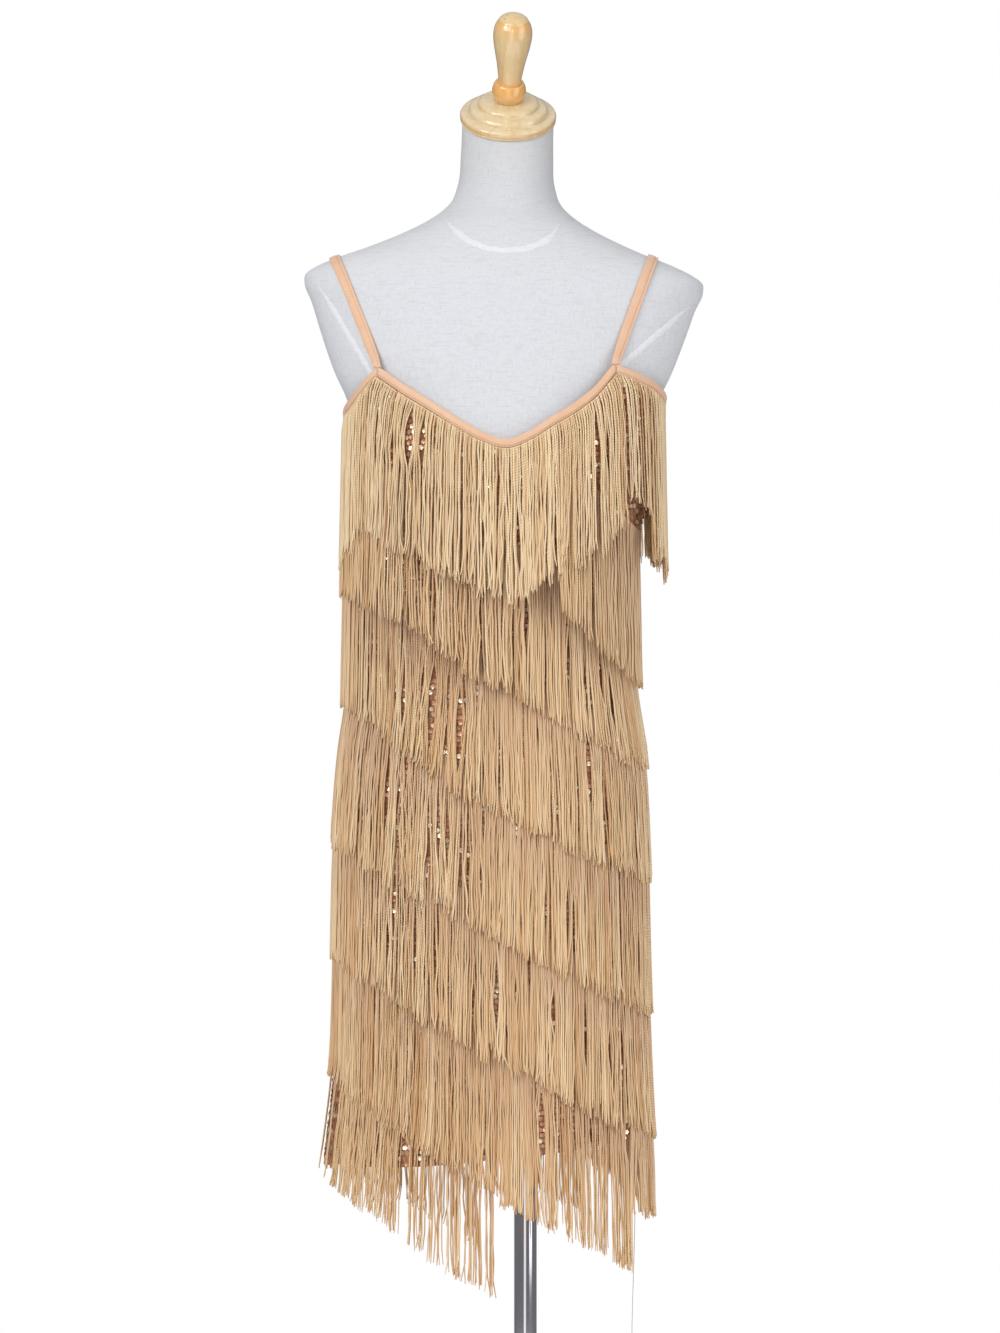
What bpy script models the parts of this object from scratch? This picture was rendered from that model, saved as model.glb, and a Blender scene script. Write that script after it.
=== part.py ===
"""Fringed flapper dress on a limbless dress form that stands on a chrome pole.

The dress is a strapped tube of two panels, bound at its top edge. Eight lengths of fringe are sewn
round it: one hangs from the top edge, and seven run round the tube on a slant. Sizes are in metres.
X runs to the viewer's right, Y away from the viewer and Z up. The floor is Z = 0, and the origin is
the middle of the base's underside, under the pole.
"""

import math
from typing import NamedTuple

import bmesh
import bpy
import numpy as np
from mathutils import Euler, Vector
from mathutils.bvhtree import BVHTree

# Stand
BASE_RADIUS = 0.160
BASE_RIM_HEIGHT = 0.007
BASE_CROWN_HEIGHT = 0.016
COLLAR_RADIUS = 0.019
COLLAR_TOP = 0.062
POLE_RADIUS = 0.0113
POLE_FOOT = 0.010
FIT_GAP = 0.0003
FLANGE_RADIUS = 0.030
FLANGE_HEIGHT = 0.022
SOCKET_DEPTH = 0.018

# Dress form: it stands a little to the left of the pole and leans to the right by FORM_LEAN
FORM_X = -0.020
FORM_POINTS = 32
FORM_LEAN = 0.025
LEAN_CENTRE = (-0.0015, 1.292)
LEVEL_BELOW = 0.70
CAP_RADIUS = 0.0480
CAP_HEIGHT = 0.0225
CAP_TURN = 4.0
HANDLE_LENGTH = 0.092

# Dress
COLUMNS = 32
LEFT_SEAM, RIGHT_SEAM = 0, 16
FRONT_STRAP_COLUMNS = (3, 13)
BACK_STRAP_COLUMNS = (29, 19)
AXIS_X, AXIS_Y = -0.005, -0.008
CLOTH_THICKNESS = 0.0014
SEAM_GAP = 0.0003
SIDE_SEAM_INSET = 0.0004
COLUMN_PITCH = 0.027
BINDING_WIDTH = 0.0078
BINDING_THICKNESS = 0.0030
STRAP_WIDTH = 0.0105
STRAP_THICKNESS = 0.0022
STRAP_CLEARANCE = 0.0016
STRAP_REST_GAP = 0.0006
STRAP_LIFT = 0.0008
STRAP_UPRIGHT = 0.003
STRAP_STEPS = 25
SHOULDER_CORE = (0.003, 1.262)
SHOULDER_X = {-1: -0.1715, 1: 0.148}
SHOULDER_HEIGHT = {-1: 1.312, 1: 1.309}
HEM_LEFT, HEM_RIGHT = 0.414, 0.442
HEM_FOLDS = 6
HEM_FOLD_DEPTH = 0.003
FOLDS_BEGIN = 0.80
LEVELS = (0.47, 0.52, 0.57, 0.62, 0.67, 0.72, 0.77, 0.82, 0.87, 0.92, 0.97, 1.02, 1.07, 1.115)

# Fringe
FRINGE_DROP = 0.142
TAPE_WIDTH = 0.008
FRINGE_THICKNESS = 0.0016
LOCK_GAP = 0.07
TIP_TAPER = 0.16
CLEAR_OF_TOP = 0.012
CLEAR_OF_HEM = 0.004


class FormSection(NamedTuple):
    """One level ring of the dress form; tilt leans the ring forward, in degrees."""

    height: float
    half_width: float
    front: float
    back: float
    squareness: float
    tilt: float


class TubeSection(NamedTuple):
    """One level ring of the dress, as reaches from X = 0 and Y = 0."""

    height: float
    left: float
    right: float
    front: float
    back: float


class Anchor(NamedTuple):
    """Where a column of the dress lies on its section: across, and in front (-1), behind (1) or beside."""

    column: int
    x: float
    side: int


class TopEdge(NamedTuple):
    """The height of the cloth's top edge at a column."""

    column: float
    height: float


class Hang(NamedTuple):
    """How a length of fringe lies: off the cloth at its root, and further off for each metre down."""

    stand_off: float
    spread: float


class Row(NamedTuple):
    """A slanted length of fringe: height at X = 0, drop for each metre to the right, and bend."""

    height: float
    slant: float
    bend: float


TOP_HANG = Hang(0.0028, 0.040)
ROW_HANG = Hang(0.0008, 0.030)

FORM = (
    FormSection(0.690, 0.114, 0.080, 0.088, 2.3, 0),
    FormSection(0.697, 0.123, 0.089, 0.098, 2.3, 0),
    FormSection(0.740, 0.130, 0.094, 0.106, 2.3, 0),
    FormSection(0.800, 0.128, 0.094, 0.106, 2.3, 0),
    FormSection(0.860, 0.119, 0.090, 0.096, 2.2, 0),
    FormSection(0.920, 0.111, 0.086, 0.084, 2.2, 0),
    FormSection(0.965, 0.109, 0.086, 0.079, 2.2, 0),
    FormSection(1.010, 0.114, 0.094, 0.081, 2.2, 0),
    FormSection(1.055, 0.126, 0.110, 0.087, 2.3, 0),
    FormSection(1.100, 0.138, 0.122, 0.092, 2.3, 0),
    FormSection(1.145, 0.1460, 0.119, 0.095, 2.3, 0),
    FormSection(1.168, 0.1535, 0.113, 0.096, 2.3, 0),
    FormSection(1.195, 0.1665, 0.107, 0.096, 2.3, 0),
    FormSection(1.235, 0.1815, 0.097, 0.095, 2.3, 0),
    FormSection(1.265, 0.1915, 0.090, 0.092, 2.2, 0),
    FormSection(1.284, 0.1990, 0.085, 0.090, 2.1, 0),
    FormSection(1.294, 0.1970, 0.081, 0.088, 2.0, 0),
    FormSection(1.301, 0.1860, 0.078, 0.086, 2.0, 0),
    FormSection(1.310, 0.1660, 0.074, 0.084, 2.0, 0),
    FormSection(1.320, 0.1390, 0.069, 0.080, 2.0, 0),
    FormSection(1.336, 0.1015, 0.062, 0.075, 2.0, 0),
    FormSection(1.352, 0.0730, 0.055, 0.070, 2.0, 3),
    FormSection(1.366, 0.0565, 0.049, 0.065, 2.0, 9),
    FormSection(1.384, 0.0488, 0.045, 0.060, 2.0, 16),
    FormSection(1.414, 0.0462, 0.042, 0.055, 2.0, 25),
    FormSection(1.451, 0.0455, 0.0415, 0.0495, 2.0, 33),
)

TUBE = (
    TubeSection(0.400, 0.1800, 0.1420, 0.1120, 0.1160),
    TubeSection(0.500, 0.1700, 0.1400, 0.1100, 0.1140),
    TubeSection(0.620, 0.1680, 0.1390, 0.1120, 0.1150),
    TubeSection(0.720, 0.1680, 0.1390, 0.1130, 0.1160),
    TubeSection(0.820, 0.1630, 0.1350, 0.1110, 0.1130),
    TubeSection(0.880, 0.1560, 0.1270, 0.1070, 0.1040),
    TubeSection(0.950, 0.1560, 0.1210, 0.1050, 0.0940),
    TubeSection(1.010, 0.1580, 0.1260, 0.1120, 0.0930),
    TubeSection(1.060, 0.1590, 0.1380, 0.1240, 0.0950),
    TubeSection(1.110, 0.1580, 0.1480, 0.1310, 0.0990),
    TubeSection(1.150, 0.1600, 0.1545, 0.1280, 0.1010),
    TubeSection(1.200, 0.1740, 0.1690, 0.1160, 0.1030),
)
TUBE_SQUARENESS = 2.3
COLUMN_SECTION = TubeSection(1.1, 0.151, 0.149, 0.130, 0.099)

# The columns keep even steps between these, so that the straps and the V fall on columns.
ANCHORS = (
    Anchor(0, -0.151, 0),
    Anchor(3, -0.1225, -1),
    Anchor(8, 0.001, -1),
    Anchor(13, 0.109, -1),
    Anchor(16, 0.149, 0),
    Anchor(19, 0.115, 1),
    Anchor(24, 0.000, 1),
    Anchor(29, -0.120, 1),
    Anchor(32, -0.151, 0),
)

# The front dips to a rounded V, the strap points are peaks, and the back is a shallow scoop.
TOP_EDGE = (
    TopEdge(0, 1.148),
    TopEdge(1, 1.154),
    TopEdge(2, 1.166),
    TopEdge(3, 1.190),
    TopEdge(4, 1.173),
    TopEdge(5, 1.158),
    TopEdge(6, 1.142),
    TopEdge(7, 1.127),
    TopEdge(8, 1.119),
    TopEdge(9, 1.127),
    TopEdge(10, 1.141),
    TopEdge(11, 1.154),
    TopEdge(12, 1.170),
    TopEdge(13, 1.193),
    TopEdge(14, 1.181),
    TopEdge(15, 1.169),
    TopEdge(16, 1.160),
    TopEdge(17, 1.154),
    TopEdge(19, 1.172),
    TopEdge(21, 1.150),
    TopEdge(24, 1.138),
    TopEdge(27, 1.148),
    TopEdge(29, 1.168),
    TopEdge(31, 1.146),
    TopEdge(32, 1.148),
)

ROWS = (
    Row(1.160, 0.92, 0.00),
    Row(1.032, 0.62, 0.00),
    Row(0.910, 0.60, 0.70),
    Row(0.785, 0.57, 0.30),
    Row(0.667, 0.59, 0.08),
    Row(0.546, 0.63, 0.26),
    Row(0.440, 0.71, 0.00),
)

FINISHES = {
    "linen": ((0.76, 0.79, 0.83), 0.90, 0.0),
    "maple": ((0.78, 0.58, 0.34), 0.38, 0.0),
    "chrome": ((0.72, 0.72, 0.74), 0.12, 1.0),
    "steel": ((0.60, 0.60, 0.62), 0.30, 1.0),
    "sequin_cloth": ((0.42, 0.22, 0.12), 0.40, 0.2),
    "binding": ((0.84, 0.56, 0.38), 0.75, 0.0),
    "fringe": ((0.70, 0.54, 0.35), 0.70, 0.0),
}


def clear_scene():
    """Removes what the scene holds at the start."""
    for obj in list(bpy.data.objects):
        bpy.data.objects.remove(obj)


def make_collection(name):
    """A collection for the finished pieces."""
    collection = bpy.data.collections.new(name)
    bpy.context.scene.collection.children.link(collection)
    return collection


def material_for(finish):
    """The Principled material for a named finish, made once."""
    found = bpy.data.materials.get(finish)
    if found:
        return found
    colour, roughness, metallic = FINISHES[finish]
    made = bpy.data.materials.new(finish)
    made.use_nodes = True
    shader = made.node_tree.nodes["Principled BSDF"]
    shader.inputs["Base Color"].default_value = (*colour, 1.0)
    shader.inputs["Roughness"].default_value = roughness
    shader.inputs["Metallic"].default_value = metallic
    return made


def add_object(name, bm, finish, collection, smooth=True):
    """Turns a bmesh into a named object with its material."""
    mesh = bpy.data.meshes.new(name)
    bmesh.ops.recalc_face_normals(bm, faces=bm.faces)
    bm.to_mesh(mesh)
    bm.free()
    mesh.materials.append(material_for(finish))
    if smooth:
        mesh.shade_smooth()
        mesh.set_sharp_from_angle(angle=math.radians(40))
    obj = bpy.data.objects.new(name, mesh)
    collection.objects.link(obj)
    return obj


def between(table, field, height):
    """A table's field at a height, read from a smooth curve through its rows."""
    heights = [row.height for row in table]
    values = [getattr(row, field) for row in table]
    if height <= heights[0]:
        return values[0]
    if height >= heights[-1]:
        return values[-1]
    slopes = np.gradient(values, heights)
    low = int(np.searchsorted(heights, height)) - 1
    step = heights[low + 1] - heights[low]
    t = (height - heights[low]) / step
    start, end = values[low], values[low + 1]
    return (
        (2 * t**3 - 3 * t**2 + 1) * start
        + (t**3 - 2 * t**2 + t) * step * slopes[low]
        + (3 * t**2 - 2 * t**3) * end
        + (t**3 - t**2) * step * slopes[low + 1]
    )


def skin_rings(rings, closed):
    """A bmesh that joins rings of equal length; closed rings get their ends filled."""
    bm = bmesh.new()
    made = [[bm.verts.new(point) for point in ring] for ring in rings]
    count = len(rings[0])
    for lower, upper in zip(made, made[1:]):
        for i in range(count if closed else count - 1):
            j = (i + 1) % count
            bm.faces.new((lower[i], lower[j], upper[j], upper[i]))
    if closed:
        bm.faces.new(made[0])
        bm.faces.new(made[-1])
    return bm


def turned(name, profile, steps, finish, collection, place, turn=None):
    """A turned piece: a profile of (radius, height) points, from its top down its outer side."""
    mesh = bpy.data.meshes.new(name)
    points = [(radius, 0.0, height) for radius, height in profile]
    edges = [(i, i + 1) for i in range(len(points) - 1)]
    if profile[0][0] > 0:
        edges.append((len(points) - 1, 0))
    mesh.from_pydata(points, edges, [])
    mesh.materials.append(material_for(finish))
    obj = bpy.data.objects.new(name, mesh)
    collection.objects.link(obj)
    screw = obj.modifiers.new("Turn", "SCREW")
    screw.steps = screw.render_steps = steps
    screw.use_merge_vertices = True
    screw.merge_threshold = 0.00005
    screw.use_smooth_shade = True
    obj.location = place
    if turn:
        obj.rotation_euler = turn
    return obj


def rounded_point(angle, sides, depths, squareness):
    """The point of a rounded section at an angle from its axis, with the front at -90 degrees."""
    c, s = math.cos(angle), math.sin(angle)
    across = sides[1] if c > 0 else sides[0]
    along = depths[1] if s > 0 else depths[0]
    reach = (abs(c / across) ** squareness + abs(s / along) ** squareness) ** (-1 / squareness)
    return c * reach, s * reach


def leant(x, y, z):
    """A point of the upright dress form, moved to where the leaning form has it."""
    centre_x, centre_z = LEAN_CENTRE
    slope = FORM_LEAN if z > LEVEL_BELOW else 0.0
    return Vector((FORM_X + centre_x + x + FORM_LEAN * (z - centre_z), y, z - slope * x))


def form_ring(section):
    """The points of one ring of the dress form, leant forward by its tilt."""
    centre_y = (section.back - section.front) / 2
    tilt = math.radians(section.tilt)
    sides = (section.half_width, section.half_width)
    depths = (section.front + centre_y, section.back - centre_y)
    ring = []
    for i in range(FORM_POINTS):
        angle = 2 * math.pi * i / FORM_POINTS
        x, ahead = rounded_point(angle, sides, depths, section.squareness)
        rise = ahead * math.sin(tilt)
        point = leant(x, centre_y + ahead * math.cos(tilt), section.height)
        point.z += rise
        ring.append(point)
    return ring


def build_form(collection):
    """The dress form's body and neck, one smooth solid; gives its surface for the straps."""
    bm = skin_rings([form_ring(s) for s in FORM], True)
    bmesh.ops.recalc_face_normals(bm, faces=bm.faces)
    bmesh.ops.triangulate(bm, faces=bm.faces)
    surface = BVHTree.FromBMesh(bm)
    add_object("form_torso", bm, "linen", collection)
    return surface


def build_form_top(collection):
    """The wooden cap on the neck and the turned handle on the cap, square to the slanted neck."""
    top = FORM[-1]
    neck = leant(0.0, (top.back - top.front) / 2, top.height)
    turn = Euler((math.radians(top.tilt), math.atan(FORM_LEAN), 0.0))
    upward = Vector((0.0, 0.0, 1.0))
    upward.rotate(turn)
    cap = (
        (0.0, CAP_HEIGHT),
        (0.0180, CAP_HEIGHT - 0.0005),
        (0.0290, CAP_HEIGHT - 0.0025),
        (0.0306, CAP_HEIGHT - 0.0040),
        (0.0312, CAP_HEIGHT - 0.0062),
        (0.0365, CAP_HEIGHT - 0.0080),
        (0.0394, CAP_HEIGHT - 0.0108),
        (0.0400, CAP_HEIGHT - 0.0128),
        (0.0462, CAP_HEIGHT - 0.0142),
        (CAP_RADIUS, CAP_HEIGHT - 0.0162),
        (CAP_RADIUS, CAP_HEIGHT - 0.0192),
        (0.0464, 0.0),
        (0.0, 0.0),
    )
    cap_seat = neck + upward * FIT_GAP
    turned("neck_cap", cap, 32, "maple", collection, cap_seat, turn)
    handle = (
        (0.0, HANDLE_LENGTH),
        (0.0062, HANDLE_LENGTH - 0.0005),
        (0.0122, HANDLE_LENGTH - 0.0025),
        (0.0166, HANDLE_LENGTH - 0.0064),
        (0.0189, HANDLE_LENGTH - 0.0115),
        (0.0193, HANDLE_LENGTH - 0.0175),
        (0.0181, 0.0650),
        (0.0140, 0.0400),
        (0.0110, 0.0170),
        (0.0134, 0.0172),
        (0.0160, 0.0140),
        (0.0169, 0.0095),
        (0.0160, 0.0048),
        (0.0138, 0.0),
        (0.0, 0.0),
    )
    handle_seat = cap_seat + upward * (CAP_HEIGHT + FIT_GAP)
    handle_turn = Euler((turn.x, turn.y, math.radians(CAP_TURN)))
    turned("neck_handle", handle, 24, "maple", collection, handle_seat, handle_turn)


def build_stand(collection):
    """The round base with its collar, the pole, and the flange that holds the form on the pole."""
    place = Vector()
    bore = POLE_RADIUS + FIT_GAP
    base = (
        (0.0, POLE_FOOT - FIT_GAP),
        (bore, POLE_FOOT - FIT_GAP),
        (bore, COLLAR_TOP),
        (COLLAR_RADIUS - 0.002, COLLAR_TOP),
        (COLLAR_RADIUS, COLLAR_TOP - 0.002),
        (COLLAR_RADIUS, BASE_CROWN_HEIGHT + 0.006),
        (COLLAR_RADIUS + 0.008, BASE_CROWN_HEIGHT),
        (BASE_RADIUS * 0.60, BASE_RIM_HEIGHT + 0.006),
        (BASE_RADIUS * 0.90, BASE_RIM_HEIGHT + 0.002),
        (BASE_RADIUS - 0.002, BASE_RIM_HEIGHT),
        (BASE_RADIUS, BASE_RIM_HEIGHT - 0.002),
        (BASE_RADIUS, 0.001),
        (BASE_RADIUS - 0.001, 0.0),
        (0.0, 0.0),
    )
    turned("stand_base", base, 40, "steel", collection, place)

    underside = FORM[0].height - FIT_GAP
    flange_bottom = underside - FLANGE_HEIGHT
    socket_top = flange_bottom + SOCKET_DEPTH
    flange = (
        (0.0, underside),
        (FLANGE_RADIUS, underside),
        (FLANGE_RADIUS, underside - 0.004),
        (COLLAR_RADIUS, underside - 0.007),
        (COLLAR_RADIUS, flange_bottom),
        (bore, flange_bottom),
        (bore, socket_top),
        (0.0, socket_top),
    )
    turned("form_flange", flange, 24, "steel", collection, place)

    pole_top = socket_top - FIT_GAP
    bm = bmesh.new()
    bmesh.ops.create_cone(
        bm,
        cap_ends=True,
        segments=24,
        radius1=POLE_RADIUS,
        radius2=POLE_RADIUS,
        depth=pole_top - POLE_FOOT,
    )
    pole = add_object("stand_pole", bm, "chrome", collection)
    pole.location = (0.0, 0.0, (pole_top + POLE_FOOT) / 2)


def column_angles():
    """The direction of each column of the dress from its axis, at even steps between the anchors."""
    fine = 1440
    angles = math.pi + np.arange(fine + 1) * (2 * math.pi / fine)
    points = np.array([section_point(COLUMN_SECTION, a) for a in angles])
    walked = np.concatenate([[0], np.cumsum(np.linalg.norm(np.diff(points, axis=0), axis=1))])
    half = fine // 2
    marks = []
    for anchor in ANCHORS:
        if anchor.side < 0:
            marks.append(np.interp(anchor.x, points[: half + 1, 0], walked[: half + 1]))
        elif anchor.side > 0:
            marks.append(np.interp(-anchor.x, -points[half:, 0], walked[half:]))
        else:
            marks.append(walked[(0, half, fine)[anchor.column // RIGHT_SEAM]])
    at = np.interp(range(COLUMNS), [anchor.column for anchor in ANCHORS], marks)
    return [float(a) for a in np.interp(at, walked, angles)]


def section_point(section, angle):
    """The point of a dress section at an angle round the dress's axis."""
    sides = (section.left + AXIS_X, section.right - AXIS_X)
    depths = (section.front + AXIS_Y, section.back - AXIS_Y)
    x, y = rounded_point(angle, sides, depths, TUBE_SQUARENESS)
    return np.array((AXIS_X + x, AXIS_Y + y))


def fold_depth(angle, height):
    """How far the loose folds push the cloth out, growing from the hips to the hem."""
    share = min(max((FOLDS_BEGIN - height) / (FOLDS_BEGIN - HEM_LEFT), 0.0), 1.0)
    return HEM_FOLD_DEPTH * share**1.5 * math.cos(HEM_FOLDS * angle + 0.8)


def top_height(column):
    """The height of the cloth's top edge at a column."""
    return float(
        np.interp(column % COLUMNS, [e.column for e in TOP_EDGE], [e.height for e in TOP_EDGE])
    )


def spot(plan, height):
    """The point in space at a plan position from the dress's axis."""
    return Vector((FORM_X + AXIS_X + plan[0], AXIS_Y + plan[1], height))


class Cloth:
    """The outer face of the dress, held as a net of columns and levels that every piece shares."""

    def __init__(self):
        self.angles = column_angles()
        self.directions = [np.array((math.cos(a), math.sin(a))) for a in self.angles]
        self.heights, self.reaches = [], []
        for column, angle in enumerate(self.angles):
            hem = self.hem_height(angle)
            top = top_height(column)
            heights = [hem, *LEVELS, (LEVELS[-1] + top) / 2, top]
            self.heights.append(heights)
            self.reaches.append([self.true_reach(angle, h) for h in heights])

    def true_reach(self, angle, height):
        """The distance from the axis to the smooth cloth."""
        section = TubeSection(
            height, *(between(TUBE, f, height) for f in ("left", "right", "front", "back"))
        )
        x, y = section_point(section, angle)
        return math.hypot(x - AXIS_X, y - AXIS_Y) + fold_depth(angle, height)

    def hem_height(self, angle):
        """The hem's height, which falls slightly to the left."""
        x = section_point(COLUMN_SECTION, angle)[0]
        return HEM_LEFT + (HEM_RIGHT - HEM_LEFT) * (x + 0.15) / 0.30

    def plan(self, column, height, outward=0.0):
        """The plan position of the cloth at a column, which may lie between two, moved outward."""
        low = math.floor(column)
        share = column - low
        ends = []
        for c in (low % COLUMNS, (low + 1) % COLUMNS):
            reach = float(np.interp(height, self.heights[c], self.reaches[c]))
            ends.append(self.directions[c] * (reach + outward))
        return ends[0] * (1 - share) + ends[1] * share

    def point(self, column, height, outward=0.0):
        """A point of the cloth in space, moved outward."""
        return spot(self.plan(column, height, outward), height)


def build_panel(name, cloth, first, last, collection):
    """One panel of the tube, seam to seam and hem to top edge, as a sheet thickened inward."""
    inset = SIDE_SEAM_INSET / COLUMN_PITCH
    columns = [first + inset, *range(first + 1, last), last - inset]
    count = len(cloth.heights[0])
    rings = []
    for level in range(count):
        ring = []
        for column in columns:
            near = round(column) % COLUMNS
            ring.append(cloth.point(column, cloth.heights[near][level]))
        rings.append(ring)
    panel = add_object(name, skin_rings(rings, False), "sequin_cloth", collection)
    thicken(panel, CLOTH_THICKNESS, outward_first=True)


def thicken(obj, thickness, outward_first=False):
    """Gives a sheet its thickness: inward from its face, or half to each side."""
    centre = np.mean([v.co for v in obj.data.vertices], axis=0)
    face = obj.data.polygons[len(obj.data.polygons) // 2]
    outward = np.dot(face.center - Vector(centre), face.normal) > 0
    if not outward:
        obj.data.flip_normals()
    solidify = obj.modifiers.new("Thickness", "SOLIDIFY")
    solidify.thickness = thickness
    solidify.offset = -1.0 if outward_first else 0.0
    solidify.use_even_offset = True


def build_binding(name, cloth, first, last, collection):
    """A length of binding on the top edge, between two columns."""
    lift = SEAM_GAP + 0.0002
    middle = -CLOTH_THICKNESS / 2
    end_gap = SEAM_GAP / COLUMN_PITCH
    columns = [first + end_gap, *range(first + 1, last), last - end_gap]
    lower, upper = [], []
    for column in columns:
        foot = top_height(column) + lift
        lower.append(binding_point(cloth, column, foot, middle))
        upper.append(binding_point(cloth, column, foot + BINDING_WIDTH, middle))
    binding = add_object(name, skin_rings([lower, upper], False), "binding", collection)
    thicken(binding, BINDING_THICKNESS)


def binding_point(cloth, column, height, outward):
    """A point over the top edge, carried on along the cloth's own slope."""
    low = math.floor(column)
    share = column - low
    total = np.zeros(2)
    for c, weight in ((low % COLUMNS, 1 - share), ((low + 1) % COLUMNS, share)):
        reach = cloth.true_reach(cloth.angles[c], height)
        total += cloth.directions[c] * (reach + outward) * weight
    return spot(total, height)


def away_from(surface, point):
    """The direction from a surface to a point outside it, and how far off the point lies."""
    nearest, normal, _, distance = surface.find_nearest(point)
    outward = point - nearest
    if outward.dot(normal) < 0 or distance < 1e-6:
        return normal, -distance
    return outward.normalized(), distance


def laid_on(surface, point, stand_off):
    """The point moved out of the dress form, if it must be, away from the shoulder's core."""
    core = Vector((point.x, SHOULDER_CORE[0], SHOULDER_CORE[1]))
    ray = point - core
    reach = ray.length
    ray.normalize()
    while away_from(surface, core + ray * reach)[1] < stand_off:
        reach += 0.0002
    return core + ray * reach


def strap_route(surface, cloth, front_column, back_column, side):
    """The strap's middle line, pulled over the shoulder from the front peak to the back peak."""
    lift = BINDING_WIDTH + STRAP_LIFT
    start = binding_point(cloth, front_column, top_height(front_column) + lift, 0.0)
    end = binding_point(cloth, back_column, top_height(back_column) + lift, 0.0)
    crest = Vector((FORM_X + SHOULDER_X[side], 0.0, SHOULDER_HEIGHT[side]))
    stand_off = STRAP_CLEARANCE + STRAP_THICKNESS / 2
    steps = 60
    summit = laid_on(surface, crest, stand_off)
    upright = Vector((0.0, 0.0, STRAP_UPRIGHT))
    front = [
        straight_over(surface, start + upright, summit, i / steps, stand_off) for i in range(steps)
    ]
    back = [straight_over(surface, end + upright, summit, i / steps, stand_off) for i in range(steps)]
    return [start, *even_steps([*front, summit, *reversed(back)], STRAP_STEPS), end]


def straight_over(surface, foot, summit, share, stand_off):
    """A point of the strap that looks straight from the front, from its foot to its summit."""
    if share == 0:
        return foot
    placed = foot.lerp(summit, share)
    for _ in range(3):
        placed = laid_on(surface, placed, stand_off)
        rise = min((placed.z - foot.z) / (summit.z - foot.z), 1.0)
        placed.x = foot.x + (summit.x - foot.x) * rise
    return laid_on(surface, placed, stand_off)


def even_steps(route, count):
    """Points at even steps along a broken line."""
    walked = np.concatenate([[0], np.cumsum([(b - a).length for a, b in zip(route, route[1:])])])
    marks = np.linspace(0, walked[-1], count)
    return [
        Vector([float(np.interp(m, walked, [p[axis] for p in route])) for axis in range(3)])
        for m in marks
    ]


def facings(surface, route):
    """The direction in which the strap's broad face looks at each point, evened out along the route."""
    raw = [away_from(surface, point)[0] for point in route]
    evened = []
    for i in range(len(raw)):
        near = raw[max(i - 2, 0) : i + 3]
        evened.append(sum(near, Vector()).normalized())
    return evened


def half_widths(route, outward):
    """The step from the strap's middle line to its edge at each point; it is level at both ends."""
    steps = []
    last = len(route) - 1
    for i in range(len(route)):
        ahead = (route[min(i + 1, last)] - route[max(i - 1, 0)]).normalized()
        across = ahead.cross(outward[i])
        if i in (0, 1, last - 1, last):
            across.z = 0.0
        steps.append(across.normalized() * (STRAP_WIDTH / 2))
    return steps


def settled(surface, route):
    """The route drawn in or pushed out until the strap's whole width just clears the dress form."""
    wanted = STRAP_THICKNESS / 2 + STRAP_REST_GAP
    last = len(route) - 1
    for _ in range(10):
        outward = facings(surface, route)
        across = half_widths(route, outward)
        moved = list(route)
        for i in range(2, last - 1):
            gaps = []
            for towards in (route[i - 1], route[i + 1]):
                for share in (0.0, 0.2, 0.4, 0.6):
                    near = route[i].lerp(towards, share)
                    for k in (-1, -0.5, 0, 0.5, 1):
                        gaps.append(away_from(surface, near + across[i] * k)[1])
            lack = wanted - min(gaps)
            if lack > 0 or 4 <= i <= last - 4:
                moved[i] = route[i] + outward[i] * (0.6 * lack)
        route = moved
    return route


def build_strap(name, surface, cloth, front_column, back_column, side, collection):
    """A flat strap that lies over one shoulder, with level ends on the bindings."""
    route = settled(surface, strap_route(surface, cloth, front_column, back_column, side))
    edges = [], []
    for here, across in zip(route, half_widths(route, facings(surface, route))):
        edges[0].append(here - across)
        edges[1].append(here + across)
    strap = add_object(name, skin_rings(edges, False), "binding", collection)
    thicken(strap, STRAP_THICKNESS)


def lock_length(row, column):
    """How far a lock hangs, with the small unevenness of cut fringe."""
    return FRINGE_DROP + 0.004 * math.sin(2.3 * column + 1.7 * row) + 0.002 * math.sin(5.1 * column)


def lock_drift(row, column):
    """How far a lock's tip strays sideways, in columns."""
    return 0.05 * math.sin(1.9 * column + 0.7 * row)


def hang_levels(root, tip):
    """The heights at which a hanging lock has a ring: its root, the cloth's own levels, and its tip."""
    close = 0.012
    inside = [h for h in reversed(LEVELS) if tip + close < h < root - close]
    return [root, *inside, tip]


def hang_point(cloth, column, heights, step, hang, root_column):
    """Where a lock's inner face lies: on the cloth, or straight down from where the cloth pushed it out."""
    reach = 0.0
    for height in heights[: step + 1]:
        offset = hang.stand_off + hang.spread * (heights[0] - height)
        reach = max(reach, float(np.linalg.norm(cloth.plan(root_column, height, offset))))
    offset = hang.stand_off + hang.spread * (heights[0] - heights[step])
    plan = cloth.plan(column, heights[step], offset)
    own = float(np.linalg.norm(cloth.plan(root_column, heights[step], offset)))
    return plan * (reach / own)


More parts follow.
